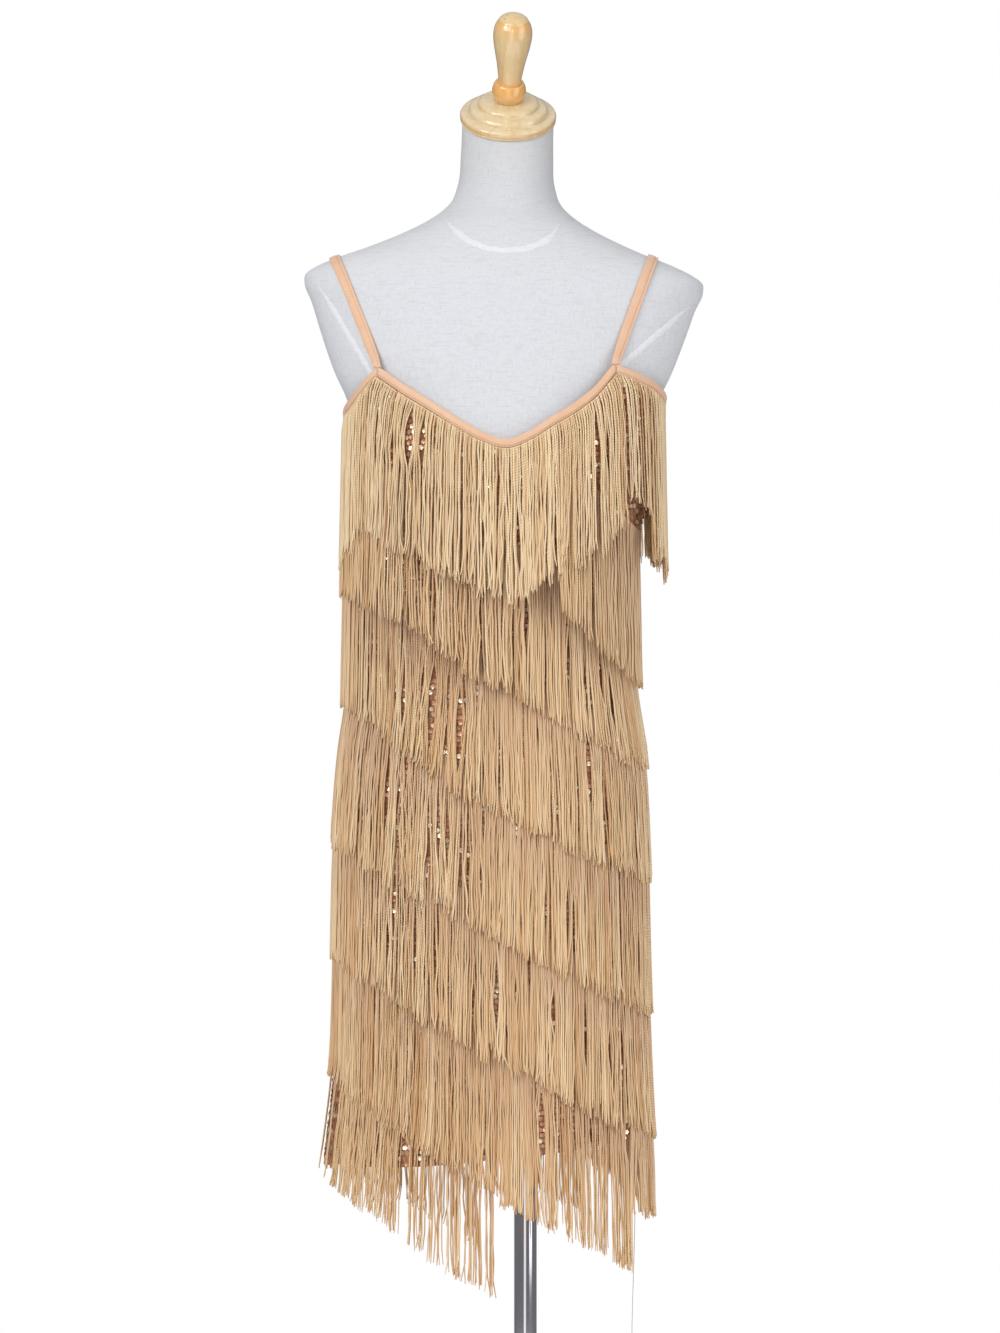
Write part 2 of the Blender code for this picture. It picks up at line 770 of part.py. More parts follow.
def build_fringe(name, number, cloth, columns, closed, edge_height, hang, collection):
    """A length of fringe: a narrow tape round the cloth, with a lock hanging from each column of it."""
    bm = bmesh.new()
    thickness = FRINGE_THICKNESS

    def place(plan, height):
        return bm.verts.new(spot(plan, height))

    stations = [c + e for c in columns for e in (LOCK_GAP, 1 - LOCK_GAP)]
    tape = []
    for station in stations:
        top = edge_height(station)
        foot = top - TAPE_WIDTH
        ring = []
        for height, outward in ((top, 0), (top, thickness), (foot, thickness), (foot, 0)):
            ring.append(place(cloth.plan(station, height, hang.stand_off + outward), height))
        tape.append(ring)
    count = len(stations)
    for i in range(count if closed else count - 1):
        here, there = tape[i], tape[(i + 1) % count]
        is_root = i % 2 == 0
        for k in range(4):
            if is_root and k == 2:
                continue
            n = (k + 1) % 4
            bm.faces.new((here[k], there[k], there[n], here[n]))
        if is_root:
            hang_lock(cloth, place, bm, number, columns[i // 2], (here, there), edge_height, hang)
    if not closed:
        bm.faces.new(tape[0])
        bm.faces.new(tape[-1])
    return add_object(name, bm, "fringe", collection, smooth=False)


def hang_lock(cloth, place, bm, number, column, ends, edge_height, hang):
    """One lock of four sides, from the tape's lower edge to its tapered tip."""
    (here, there) = ends
    middle = column + 0.5
    length = lock_length(number, column)
    above = [here[3], here[2], there[2], there[3]]
    sides = (column + LOCK_GAP, column + 1 - LOCK_GAP)
    roots = [edge_height(s) - TAPE_WIDTH for s in sides]
    levels = hang_levels(sum(roots) / 2, sum(roots) / 2 - length)
    skew = roots[1] - roots[0]
    for step in range(1, len(levels)):
        share = (levels[0] - levels[step]) / length
        last = step == len(levels) - 1
        drift = lock_drift(number, column) * share**2
        ring = []
        for side, station in enumerate(sides):
            narrowed = middle + (station - middle) * (1 - TIP_TAPER * share**3) + drift
            heights = list(levels)
            if last:
                heights[-1] += (side - 0.5) * skew
            inner = hang_point(cloth, narrowed, heights, step, hang, middle)
            reach = np.linalg.norm(inner)
            outer = inner * (1 + FRINGE_THICKNESS / reach)
            pair = [place(inner, heights[step]), place(outer, heights[step])]
            ring.extend(pair if side == 0 else reversed(pair))
        for k in range(4):
            join_walls(bm, above, ring, k)
        above = ring
    bm.faces.new(above)


def join_walls(bm, above, below, k):
    """One side of a lock between two rings; its broad faces are split the same way, so they keep apart."""
    n = (k + 1) % 4
    if k % 2 == 0:
        bm.faces.new((above[k], above[n], below[n], below[k]))
    elif k == 1:
        bm.faces.new((above[1], above[2], below[2]))
        bm.faces.new((above[1], below[2], below[1]))
    else:
        bm.faces.new((above[3], above[0], below[3]))
        bm.faces.new((above[0], below[0], below[3]))


def slanted_edge(cloth, row):
    """The function that gives the height of a slanted row's tape at a column."""

    def height(column):
        level = row.height
        for _ in range(8):
            x = AXIS_X + float(cloth.plan(column, level)[0])
            level = row.height - row.slant * x + row.bend * x**2
        return level

    return height


def columns_that_fit(cloth, edge_height):
    """The columns in which a slanted row's tape lies clear of the top edge and of the hem."""

    def fits(column):
        for c in (column, column + 1):
            height = edge_height(c)
            near = c % COLUMNS
            if height > top_height(near) - CLEAR_OF_TOP:
                return False
            if height - TAPE_WIDTH < cloth.heights[near][0] + CLEAR_OF_HEM:
                return False
        return True

    good = [fits(c) for c in range(COLUMNS)]
    if all(good):
        return list(range(COLUMNS)), True
    start = next(c for c in range(COLUMNS) if good[c] and not good[c - 1])
    run = []
    while good[(start + len(run)) % COLUMNS]:
        run.append(start + len(run))
    return run, False


def build_dress(surface, collection):
    """The two panels, the bindings, the straps and the eight lengths of fringe."""
    cloth = Cloth()
    build_panel("front_panel", cloth, LEFT_SEAM, RIGHT_SEAM, collection)
    build_panel("back_panel", cloth, RIGHT_SEAM, COLUMNS, collection)

    left_front, right_front = FRONT_STRAP_COLUMNS
    left_back, right_back = BACK_STRAP_COLUMNS
    build_binding("neck_binding_front", cloth, left_front, right_front, collection)
    build_binding("armhole_binding_right", cloth, right_front, right_back, collection)
    build_binding("neck_binding_back", cloth, right_back, left_back, collection)
    build_binding("armhole_binding_left", cloth, left_back, left_front + COLUMNS, collection)
    build_strap("strap_left", surface, cloth, left_front, left_back, -1, collection)
    build_strap("strap_right", surface, cloth, right_front, right_back, 1, collection)

    def under_top(column):
        return top_height(column) - 0.0006

    every = list(range(COLUMNS))
    build_fringe("fringe_top", 0, cloth, every, True, under_top, TOP_HANG, collection)
    for number, row in enumerate(ROWS, 1):
        edge = slanted_edge(cloth, row)
        columns, closed = columns_that_fit(cloth, edge)
        build_fringe(f"fringe_row_{number}", number, cloth, columns, closed, edge, ROW_HANG, collection)


def main():
    """Builds the stand, the dress form and the dress."""
    clear_scene()
    collection = make_collection("flapper_dress")
    build_stand(collection)
    surface = build_form(collection)
    build_form_top(collection)
    build_dress(surface, collection)


main()
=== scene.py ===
"""Looks of the fringed flapper dress and of the limbless dress form that it hangs on.

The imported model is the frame. Each class is one sub-assembly: it repeats the sizes of the part's
source in metres, builds a finer mesh over the same form and dresses it. X runs to the viewer's
right, Y away from the viewer and Z up, and the floor is Z = 0.
"""

import logging
import math
from dataclasses import dataclass, field
from enum import Enum
from typing import Any, Callable, NamedTuple, Sequence

import bmesh
import bpy
import numpy as np
from bpy.types import Material, Node, NodeTree, Object
from mathutils import Euler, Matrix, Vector
from mathutils.bvhtree import BVHTree
from numpy.random import Generator


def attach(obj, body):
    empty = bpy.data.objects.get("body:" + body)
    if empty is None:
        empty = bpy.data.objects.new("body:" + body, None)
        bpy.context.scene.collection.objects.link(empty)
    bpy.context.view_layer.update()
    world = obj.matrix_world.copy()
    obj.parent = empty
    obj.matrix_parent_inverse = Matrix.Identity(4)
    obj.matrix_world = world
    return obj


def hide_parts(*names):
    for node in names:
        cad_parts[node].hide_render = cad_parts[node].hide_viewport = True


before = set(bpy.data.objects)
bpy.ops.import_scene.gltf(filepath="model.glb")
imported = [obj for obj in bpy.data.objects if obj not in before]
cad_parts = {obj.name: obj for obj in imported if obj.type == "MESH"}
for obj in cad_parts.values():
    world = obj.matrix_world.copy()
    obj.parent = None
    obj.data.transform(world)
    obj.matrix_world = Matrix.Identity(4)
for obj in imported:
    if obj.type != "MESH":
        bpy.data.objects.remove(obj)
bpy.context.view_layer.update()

LOG = logging.getLogger("flapper_dress")
MM = 0.001

# The dress and its form stand a little to the left of the pole.
FORM_X = -0.020
AXIS_X, AXIS_Y = -0.005, -0.008
COLUMNS = 32
COLUMN_PITCH = 0.029
SQUARENESS = 2.3


class Side(Enum):
    """The two sides of the dress, as the viewer sees them."""

    LEFT = -1
    RIGHT = 1


class FormSection(NamedTuple):
    """One level ring of the dress form; tilt leans the ring forward, in degrees."""

    height: float
    half_width: float
    front: float
    back: float
    squareness: float
    tilt: float


class TubeSection(NamedTuple):
    """One level ring of the dress, as reaches from X = 0 and Y = 0."""

    height: float
    left: float
    right: float
    front: float
    back: float


class Anchor(NamedTuple):
    """Where a column of the dress lies on its section: across, and in front (-1) or behind (1)."""

    column: int
    x: float
    side: int


class EdgeMark(NamedTuple):
    """The height of the cloth's top edge at a column."""

    column: float
    height: float


class Crease(NamedTuple):
    """A soft upright trough in the cloth: where it runs, how wide it is and how deep."""

    column: float
    top: float
    bottom: float
    width: float
    depth: float


class Row(NamedTuple):
    """A slanted length of fringe: height at X = 0, drop for each metre to the right, and bend."""

    height: float
    slant: float
    bend: float


def linear(code: str) -> tuple[float, float, float, float]:
    """Turns an sRGB hex value into a linear colour.

    Args:
        code: The colour as six hex digits after a hash.

    Returns:
        Red, green, blue and an alpha of one.
    """
    parts = [int(code[i : i + 2], 16) / 255 for i in (1, 3, 5)]
    made = [p / 12.92 if p <= 0.04045 else ((p + 0.055) / 1.055) ** 2.4 for p in parts]
    return (made[0], made[1], made[2], 1.0)


def set_node(
    tree: NodeTree, node: Node, settings: dict[Any, Any] | None = None, links: dict[Any, Any] | None = None
) -> None:
    """Gives a node its settings and links.

    Args:
        tree: The tree that the node is in.
        node: The node.
        settings: Values for the node's own fields, for its inputs, or for its ramp's stops.
        links: What feeds each named or numbered input: a socket, or a node by its main output.
    """
    for key, value in (settings or {}).items():
        if key == "stops":
            while len(node.color_ramp.elements) < len(value):
                node.color_ramp.elements.new(0.5)
            for stop, (position, colour) in zip(node.color_ramp.elements, value):
                stop.position = position
                stop.color = linear(colour) if isinstance(colour, str) else colour
        elif isinstance(key, str) and hasattr(node, key):
            setattr(node, key, value)
        else:
            # A text that goes into an input is a colour's hex value.
            node.inputs[key].default_value = linear(value) if isinstance(value, str) else value
    for key, source in (links or {}).items():
        if isinstance(source, Node):
            # A colour mix has its colour in the third place, and other nodes have theirs in the first.
            source = source.outputs[2 if source.bl_idname == "ShaderNodeMix" else 0]
        tree.links.new(source, node.inputs[key])


def add_node(
    tree: NodeTree, kind: str, settings: dict[Any, Any] | None = None, links: dict[Any, Any] | None = None
) -> Node:
    """Adds a node to a tree with its settings and links.

    Args:
        tree: The tree that the node goes into.
        kind: The node's type, without the word ShaderNode before it.
        settings: Its settings, as set_node takes them.
        links: Its links, as set_node takes them.

    Returns:
        The new node.
    """
    node = tree.nodes.new(f"ShaderNode{kind}")
    if kind == "Mix":
        # Every mix here is a mix of colours.
        node.data_type = "RGBA"
    set_node(tree, node, settings, links)
    return node


def curve_at(places: Sequence[float], values: Sequence[float], at: Any) -> np.ndarray:
    """Reads a smooth curve through a table.

    Args:
        places: Where the table's rows stand, rising.
        values: The table's values there.
        at: One place or an array of them.

    Returns:
        The curve's values, held at the end values outside the table.
    """
    places, values = np.asarray(places, float), np.asarray(values, float)
    slopes = np.gradient(values, places)
    at = np.clip(np.asarray(at, float), places[0], places[-1])
    low = np.clip(np.searchsorted(places, at) - 1, 0, len(places) - 2)
    step = places[low + 1] - places[low]
    t = (at - places[low]) / step
    return (
        (2 * t**3 - 3 * t**2 + 1) * values[low]
        + (t**3 - 2 * t**2 + t) * step * slopes[low]
        + (3 * t**2 - 2 * t**3) * values[low + 1]
        + (t**3 - t**2) * step * slopes[low + 1]
    )


def distance_along(points: np.ndarray) -> np.ndarray:
    """How far along a broken line each of its points lies."""
    return np.concatenate([[0], np.cumsum(np.linalg.norm(np.diff(points, axis=0), axis=1))])


def ring_turns(count: int) -> np.ndarray:
    """The directions of a ring's points, evenly spaced from zero."""
    return np.linspace(0, 2 * math.pi, count, endpoint=False)


def level_way(angles: np.ndarray) -> np.ndarray:
    """Level steps of one metre in the given directions."""
    return np.stack([np.cos(angles), np.sin(angles), np.zeros_like(angles)], axis=-1)


def even_steps(route: Sequence[Vector], count: int) -> list[Vector]:
    """Points at even steps along a broken line.

    Args:
        route: The line's corners.
        count: How many points to give.

    Returns:
        The points, from the line's start to its end.
    """
    spots = np.array([tuple(p) for p in route])
    walked = distance_along(spots)
    marks = np.linspace(0, walked[-1], count)
    return [Vector([float(np.interp(m, walked, spots[:, axis])) for axis in range(3)]) for m in marks]


def evened(route: Sequence[Vector], passes: int) -> list[Vector]:
    """The route with its corners softened, its two ends kept.

    Args:
        route: The points to soften.
        passes: How many times each point is drawn between its neighbours.

    Returns:
        The softened points.
    """
    points = [p.copy() for p in route]
    for _ in range(passes):
        inner = [
            points[i - 1] * 0.25 + points[i] * 0.5 + points[i + 1] * 0.25
            for i in range(1, len(points) - 1)
        ]
        points = [points[0], *inner, points[-1]]
    return points


@dataclass(frozen=True)
class Finish:
    """The surface of one real material; each kind of material says how its nodes are laid."""

    name: str

    def material(self) -> Material:
        """Makes the material of this finish, or finds it where it is made already.

        Returns:
            The material.
        """
        found = bpy.data.materials.get(self.name)
        if found:
            return found
        made = bpy.data.materials.new(self.name)
        made.use_nodes = True
        self.lay(made.node_tree, made.node_tree.nodes["Principled BSDF"])
        return made

    def lay(self, tree: NodeTree, shader: Node) -> None:
        """Lays the nodes of the finish; each kind of finish has its own."""
        raise NotImplementedError


@dataclass(frozen=True)
class LinenOverShell(Finish):
    """Plain-woven linen pasted over a hard shell: matt, cool white, with thicker yarns across it.

    The neck is painted a little greyer: painted shade.
    """

    thread: str = "#DADCE0"
    slub: str = "#B9BABD"
    neck_shade: str = "#CBCAC8"
    unshaded_below: float = 1.30
    neck_shade_full_above: float = 1.42
    yarn_mm: float = 1.4
    slub_mm: float = 13.0
    neck_shade_share: float = 0.5

    def lay(self, tree: NodeTree, shader: Node) -> None:
        """Lays crossed slubs in colour and bump, and the painted shade toward the neck.

        Args:
            tree: The material's node tree.
            shader: Its Principled shader.
        """
        place = add_node(tree, "TexCoord").outputs["Object"]
        heights, marks = [], []
        # Real linen has 0.6 mm yarns; they are drawn at 1.4 mm so that they show at all.
        fine, long = 1 / (self.yarn_mm * MM), 1 / (self.slub_mm * MM)
        for stretch in ((long, long, fine), (fine, fine, long)):
            turned = add_node(tree, "Mapping", {"Scale": stretch}, {"Vector": place})
            yarn = add_node(
                tree, "TexNoise", {"Scale": 1.0, "Detail": 2.0, "Roughness": 0.6}, {"Vector": turned}
            )
            heights.append(yarn)
            marks.append(
                add_node(
                    tree, "MapRange", {"From Min": 0.50, "From Max": 0.80, "To Max": 0.50}, {"Value": yarn}
                )
            )
        weave = add_node(tree, "Math", {"operation": "ADD"}, {0: heights[0], 1: heights[1]})
        slubs = add_node(tree, "Math", {"operation": "MAXIMUM"}, {0: marks[0], 1: marks[1]})
        axes = add_node(tree, "SeparateXYZ", links={"Vector": place})
        # Painted shade: the linen turns greyer from 1.30 m up to 1.42 m, toward the neck.
        neck_shade_share = add_node(
            tree,
            "MapRange",
            {"From Min": self.unshaded_below, "From Max": self.neck_shade_full_above, "To Max": self.neck_shade_share},
            {"Value": axes.outputs["Z"]},
        )
        cloth = add_node(tree, "Mix", {6: self.thread, 7: self.neck_shade}, {0: neck_shade_share})
        colour = add_node(tree, "Mix", {7: self.slub}, {0: slubs, 6: cloth})
        bump = add_node(tree, "Bump", {"Strength": 0.35, "Distance": 0.3 * MM}, {"Height": weave})
        set_node(
            tree,
            shader,
            {"Roughness": 0.85, "Specular IOR Level": 0.25},
            {"Base Color": colour, "Normal": bump},
        )


@dataclass(frozen=True)
class VarnishedMaple(Finish):
    """Lathe-turned maple under clear varnish: pale and glossy, and honey-coloured on end grain."""

    pale: str = "#EAD7AE"
    grain: str = "#DDC391"
    honey: str = "#F0B260"
    knot: str = "#8A5A2C"
    grain_mm: float = 6.0
    grain_length_mm: float = 26.0
    knots: tuple[tuple[float, float, float], ...] = ()
    knot_mm: float = 1.1

    def lay(self, tree: NodeTree, shader: Node) -> None:
        """Lays the grain, a few pin knots and the end grain's honey tone.

        Args:
            tree: The material's node tree.
            shader: Its Principled shader.
        """
        place = add_node(tree, "TexCoord").outputs["Object"]
        fine, long = 1 / (self.grain_mm * MM), 1 / (self.grain_length_mm * MM)
        turned = add_node(tree, "Mapping", {"Scale": (fine, fine, long)}, {"Vector": place})
        grain = add_node(
            tree,
            "TexNoise",
            {"Scale": 1.0, "Detail": 3.0, "Roughness": 0.55, "Distortion": 0.6},
            {"Vector": turned},
        )
        stops = ((0.35, self.pale), (0.72, self.grain))
        wood = add_node(tree, "ValToRGB", {"stops": stops}, {"Fac": grain})
        end_grain = add_node(tree, "Attribute", {"attribute_name": "end_grain"})
        surface = add_node(tree, "Mix", {7: self.honey}, {0: end_grain.outputs["Fac"], 6: wood})
        rim = self.knot_mm * MM
        fading = {"From Min": 0.5 * rim, "From Max": rim, "To Min": 0.85, "To Max": 0.0}
        for knot in self.knots:
            away = add_node(tree, "VectorMath", {"operation": "DISTANCE", 1: knot}, {0: place})
            spot = add_node(tree, "MapRange", fading, {"Value": away.outputs["Value"]})
            surface = add_node(tree, "Mix", {7: self.knot}, {0: spot, 6: surface})
        bump = add_node(tree, "Bump", {"Strength": 0.03, "Distance": 0.2 * MM}, {"Height": grain})
        set_node(
            tree,
            shader,
            {"Roughness": 0.32, "Coat Weight": 1.0, "Coat Roughness": 0.14, "Coat IOR": 1.65},
            {"Base Color": surface, "Normal": bump},
        )


@dataclass(frozen=True)
class BrightMetal(Finish):
    """Plated or brushed metal: its roughness wanders along the direction it was finished in."""

    colour: str = "#D9D9DC"
    mark: str = "#BDBDC2"
    roughness: float = 0.06
    spread: float = 0.05
    marks_mm: tuple[float, float, float] = (1.111, 1.111, 83.33)
    bump: float = 0.0

    def lay(self, tree: NodeTree, shader: Node) -> None:
        """Lays the fine marks of the polish or the brush.

        Args:
            tree: The material's node tree.
            shader: Its Principled shader.
        """
        place = add_node(tree, "TexCoord").outputs["Object"]
        # Real marks of the polish or the brush are 0.1 mm apart; here they are wide enough to show.
        scale = tuple(1 / (size * MM) for size in self.marks_mm)
        turned = add_node(tree, "Mapping", {"Scale": scale}, {"Vector": place})
        marks = add_node(tree, "TexNoise", {"Scale": 1.0, "Detail": 2.0}, {"Vector": turned})
        rough = add_node(
            tree,
            "MapRange",
            {"To Min": self.roughness, "To Max": self.roughness + self.spread},
            {"Value": marks},
        )
        tint = add_node(tree, "Mix", {6: self.colour, 7: self.mark}, {0: marks})
        set_node(tree, shader, {"Metallic": 1.0}, {"Base Color": tint, "Roughness": rough})
        if self.bump:
            bump = add_node(tree, "Bump", {"Strength": self.bump, "Distance": 0.1 * MM}, {"Height": marks})
            set_node(tree, shader, links={"Normal": bump})


@dataclass(frozen=True)
class BiasBinding(Finish):
    """Woven satin folded on the bias: fine slanting ribs with a soft sheen."""

    colour: str = "#EFC8A8"
    shade: str = "#DFAF8B"
    rib_mm: float = 1.3
    cloud_mm: float = 16.67

    def lay(self, tree: NodeTree, shader: Node) -> None:
        """Lays the slanting ribs.

        Args:
            tree: The material's node tree.
            shader: Its Principled shader.
        """
        place = add_node(tree, "UVMap", {"uv_map": "sewn"})
        # Real satin ribs are 0.3 mm apart; they are drawn at 1.3 mm so that they show.
        scale = 0.1 / (self.rib_mm * MM) / math.pi
        ribs = add_node(
            tree,
            "TexWave",
            {"bands_direction": "DIAGONAL", "Scale": scale, "Distortion": 0.6},
            {"Vector": place},
        )
        clouds = {"Scale": 1 / (self.cloud_mm * MM), "Detail": 3.0}
        cloudy = add_node(tree, "TexNoise", clouds, {"Vector": place})
        tone = add_node(tree, "Mix", {6: self.colour, 7: self.shade}, {0: cloudy})
        bump = add_node(
            tree, "Bump", {"Strength": 0.25, "Distance": 0.2 * MM}, {"Height": ribs.outputs["Fac"]}
        )
        set_node(
            tree, shader, {"Roughness": 0.55, "Sheen Weight": 0.25}, {"Base Color": tone, "Normal": bump}
        )


@dataclass(frozen=True)
class SewingThread(Finish):
    """Spun polyester sewing thread, matt and a shade darker than what it sews."""

    colour: str = "#D69C74"
    shade: str = "#B9825C"
    dye_mm: float = 2.5

    def lay(self, tree: NodeTree, shader: Node) -> None:
        """Lays the thread's slightly uneven dye.

        Args:
            tree: The material's node tree.
            shader: Its Principled shader.
        """
        place = add_node(tree, "TexCoord").outputs["Object"]
        dye = add_node(tree, "TexNoise", {"Scale": 1 / (self.dye_mm * MM)}, {"Vector": place})
        tone = add_node(tree, "Mix", {6: self.colour, 7: self.shade}, {0: dye})
        set_node(tree, shader, {"Roughness": 0.7}, {"Base Color": tone})


@dataclass(frozen=True)
class TwistedRayon(Finish):
    """Plied rayon fringe thread: golden beige, softly shiny, with its twist showing as slanted grooves that
    carry painted shade.
    """

    light: str = "#FFE9C0"
    deep: str = "#D9AC78"
    root: str = "#D0A98C"
    shadow: str = "#B07840"
    root_shade_share: float = 0.0
    root_shade_ends: float = 0.105
    twist_mm: float = 2.6

    def lay(self, tree: NodeTree, shader: Node) -> None:
        """Lays the twist with painted shade in its grooves, and each thread's own shade.

        Args:
            tree: The material's node tree.
            shader: Its Principled shader.
        """
        place = add_node(tree, "UVMap", {"uv_map": "thread"})
        axes = add_node(tree, "SeparateXYZ", links={"Vector": place})
        # The UV runs once round the thread and in metres along it, and two plies wind round it.
        # Real plies turn once in 1.2 mm; here it is 2.6 mm, which the render can still show.
        per_metre = 2 * math.pi / (self.twist_mm * MM)
        along = add_node(tree, "Math", {"operation": "MULTIPLY", 1: per_metre}, {0: axes.outputs["Y"]})
        around = add_node(
            tree, "Math", {"operation": "MULTIPLY_ADD", 1: 2 * math.pi}, {0: axes.outputs["X"], 2: along}
        )
        plies = add_node(tree, "Math", {"operation": "SINE"}, {0: around})
        # Painted shade: the colour darkens toward the shadow tone in the grooves between the plies.
        groove = add_node(
            tree,
            "MapRange",
            {"From Min": -1.0, "From Max": 0.3, "To Min": 0.36, "To Max": 0.0},
            {"Value": plies},
        )
        own = add_node(tree, "Attribute", {"attribute_name": "shade"})
        dyed = add_node(tree, "Mix", {6: self.light, 7: self.deep}, {0: own.outputs["Fac"]})
        # Near the tape the threads are thin over the brown cloth and lie under the row above, so they are
        # painted duller there: painted shade.
        root_shade = add_node(
            tree,
            "MapRange",
            {"From Min": 0.02, "From Max": self.root_shade_ends, "To Min": self.root_shade_share, "To Max": 0.0},
            {"Value": axes.outputs["Y"]},
        )
        thread = add_node(tree, "Mix", {7: self.root}, {0: root_shade, 6: dyed})
        groove_shaded = add_node(tree, "Mix", {7: self.shadow}, {0: groove, 6: thread})
        bump = add_node(tree, "Bump", {"Strength": 0.5, "Distance": 0.3 * MM}, {"Height": plies})
        set_node(
            tree, shader, {"Roughness": 0.5, "Sheen Weight": 0.15}, {"Base Color": groove_shaded, "Normal": bump}
        )


@dataclass(frozen=True)
class KnitGround(Finish):
    """Knitted mesh that carries the sequins: copper brown, matt, with upright wales."""

    colour: str = "#B5805A"
    shade: str = "#8E5C3C"
    wale_mm: float = 2.0

    def lay(self, tree: NodeTree, shader: Node) -> None:
        """Lays the wales of the knit.

        Args:
            tree: The material's node tree.
            shader: Its Principled shader.
        """
        place = add_node(tree, "UVMap", {"uv_map": "sewn"})
        # Real wales are 0.8 mm apart; they are drawn at 2 mm so that they show.
        scale = 0.1 / (self.wale_mm * MM) / math.pi
        wales = add_node(
            tree, "TexWave", {"bands_direction": "X", "Scale": scale, "Distortion": 1.5}, {"Vector": place}
        )
        height = wales.outputs["Fac"]
        tone = add_node(tree, "Mix", {6: self.colour, 7: self.shade}, {0: height})
        bump = add_node(tree, "Bump", {"Strength": 0.4, "Distance": 0.4 * MM}, {"Height": height})
        set_node(tree, shader, {"Roughness": 0.8}, {"Base Color": tone, "Normal": bump})


@dataclass(frozen=True)
class CupSequin(Finish):
    """Punched and metallised PET film: copper-brown cups, and a share of paler gold ones painted near
    white, partly a paler film and partly painted highlight for glints.
    """

    copper: str = "#D49E78"
    brown: str = "#8F5A3A"
    gold: str = "#FFEFD2"
    film_mm: float = 4.0
    brown_up_to: float = 0.72
    gold_from: float = 0.75

    def lay(self, tree: NodeTree, shader: Node) -> None:
        """Lays each sequin's own shade and its slightly cloudy film.

        Args:
            tree: The material's node tree.
            shader: Its Principled shader.
        """
        own = add_node(tree, "Attribute", {"attribute_name": "shade"}).outputs["Fac"]
        tone = add_node(tree, "Mix", {6: self.copper, 7: self.brown}, {0: own})
        place = add_node(tree, "TexCoord").outputs["Object"]
        film = add_node(tree, "TexNoise", {"Scale": 1 / (self.film_mm * MM)}, {"Vector": place})
        rough = add_node(tree, "MapRange", {"To Min": 0.18, "To Max": 0.38}, {"Value": film})
        # Painted highlight: the gold share is painted pale, near white, so that it also stands for glints.
        painted_glints = add_node(
            tree, "MapRange", {"From Min": self.brown_up_to, "From Max": self.gold_from}, {"Value": own}
        )
        mixed = add_node(tree, "Mix", {7: self.gold}, {0: painted_glints, 6: tone})
        metal = add_node(tree, "MapRange", {"To Min": 0.35, "To Max": 0.75}, {"Value": painted_glints})
        set_node(tree, shader, links={"Metallic": metal, "Base Color": mixed, "Roughness": rough})


@dataclass(frozen=True)
class PaintedFloor(Finish):
    """Pale studio floor, painted matt white with a roller that leaves shallow marks."""

    colour: str = "#F6F6F6"
    roller_mm: float = 25.0

    def lay(self, tree: NodeTree, shader: Node) -> None:
        """Lays the roller texture.

        Args:
            tree: The material's node tree.
            shader: Its Principled shader.
        """
        place = add_node(tree, "TexCoord").outputs["Object"]
        roller = add_node(tree, "TexNoise", {"Scale": 1 / (self.roller_mm * MM)}, {"Vector": place})
        bump = add_node(tree, "Bump", {"Strength": 0.02}, {"Height": roller})
        # The floor is lit from below, as a studio's white table is, so that it stays white.
        glow = {"Emission Color": (1.0, 1.0, 1.0, 1.0), "Emission Strength": 0.45}
        set_node(tree, shader, {"Base Color": self.colour, "Roughness": 0.9, **glow}, {"Normal": bump})


LINEN = LinenOverShell("pasted_linen")
LINEN_SEAM = LinenOverShell("pasted_linen_overlap", thread="#E8EAEE", slub="#C8CACE")
MAPLE = VarnishedMaple("turned_varnished_maple")
KNOTTED_MAPLE = VarnishedMaple(
    "knotted_varnished_maple",
    pale="#ECD29E",
    grain="#E2BD85",
    knots=((0.0008, 0.0048, 0.0908), (-0.0068, -0.0012, 0.0905), (-0.0092, -0.0062, 0.0891)),
)
CHROME = BrightMetal("chrome_plated_tube", colour="#E2E2E6")
STEEL = BrightMetal(
    "satin_steel", colour="#C4C4C8", roughness=0.28, spread=0.16, marks_mm=(2.0, 2.0, 2.0), bump=0.1
)
BINDING = BiasBinding("satin_bias_binding")
STITCHING = SewingThread("polyester_sewing_thread")
LOOSE_END = SewingThread("grey_sewing_thread", colour="#A9A9AE")
# The rows' threads get painted shade near their tape; the top row's threads get none.
RAYON = TwistedRayon("twisted_rayon_fringe", root_shade_share=0.5)
TOP_RAYON = TwistedRayon("twisted_rayon_top_fringe")
KNIT = KnitGround("copper_knit_ground")
SEQUIN = CupSequin("metallised_cup_sequin")
FLOOR = PaintedFloor("matt_studio_floor")


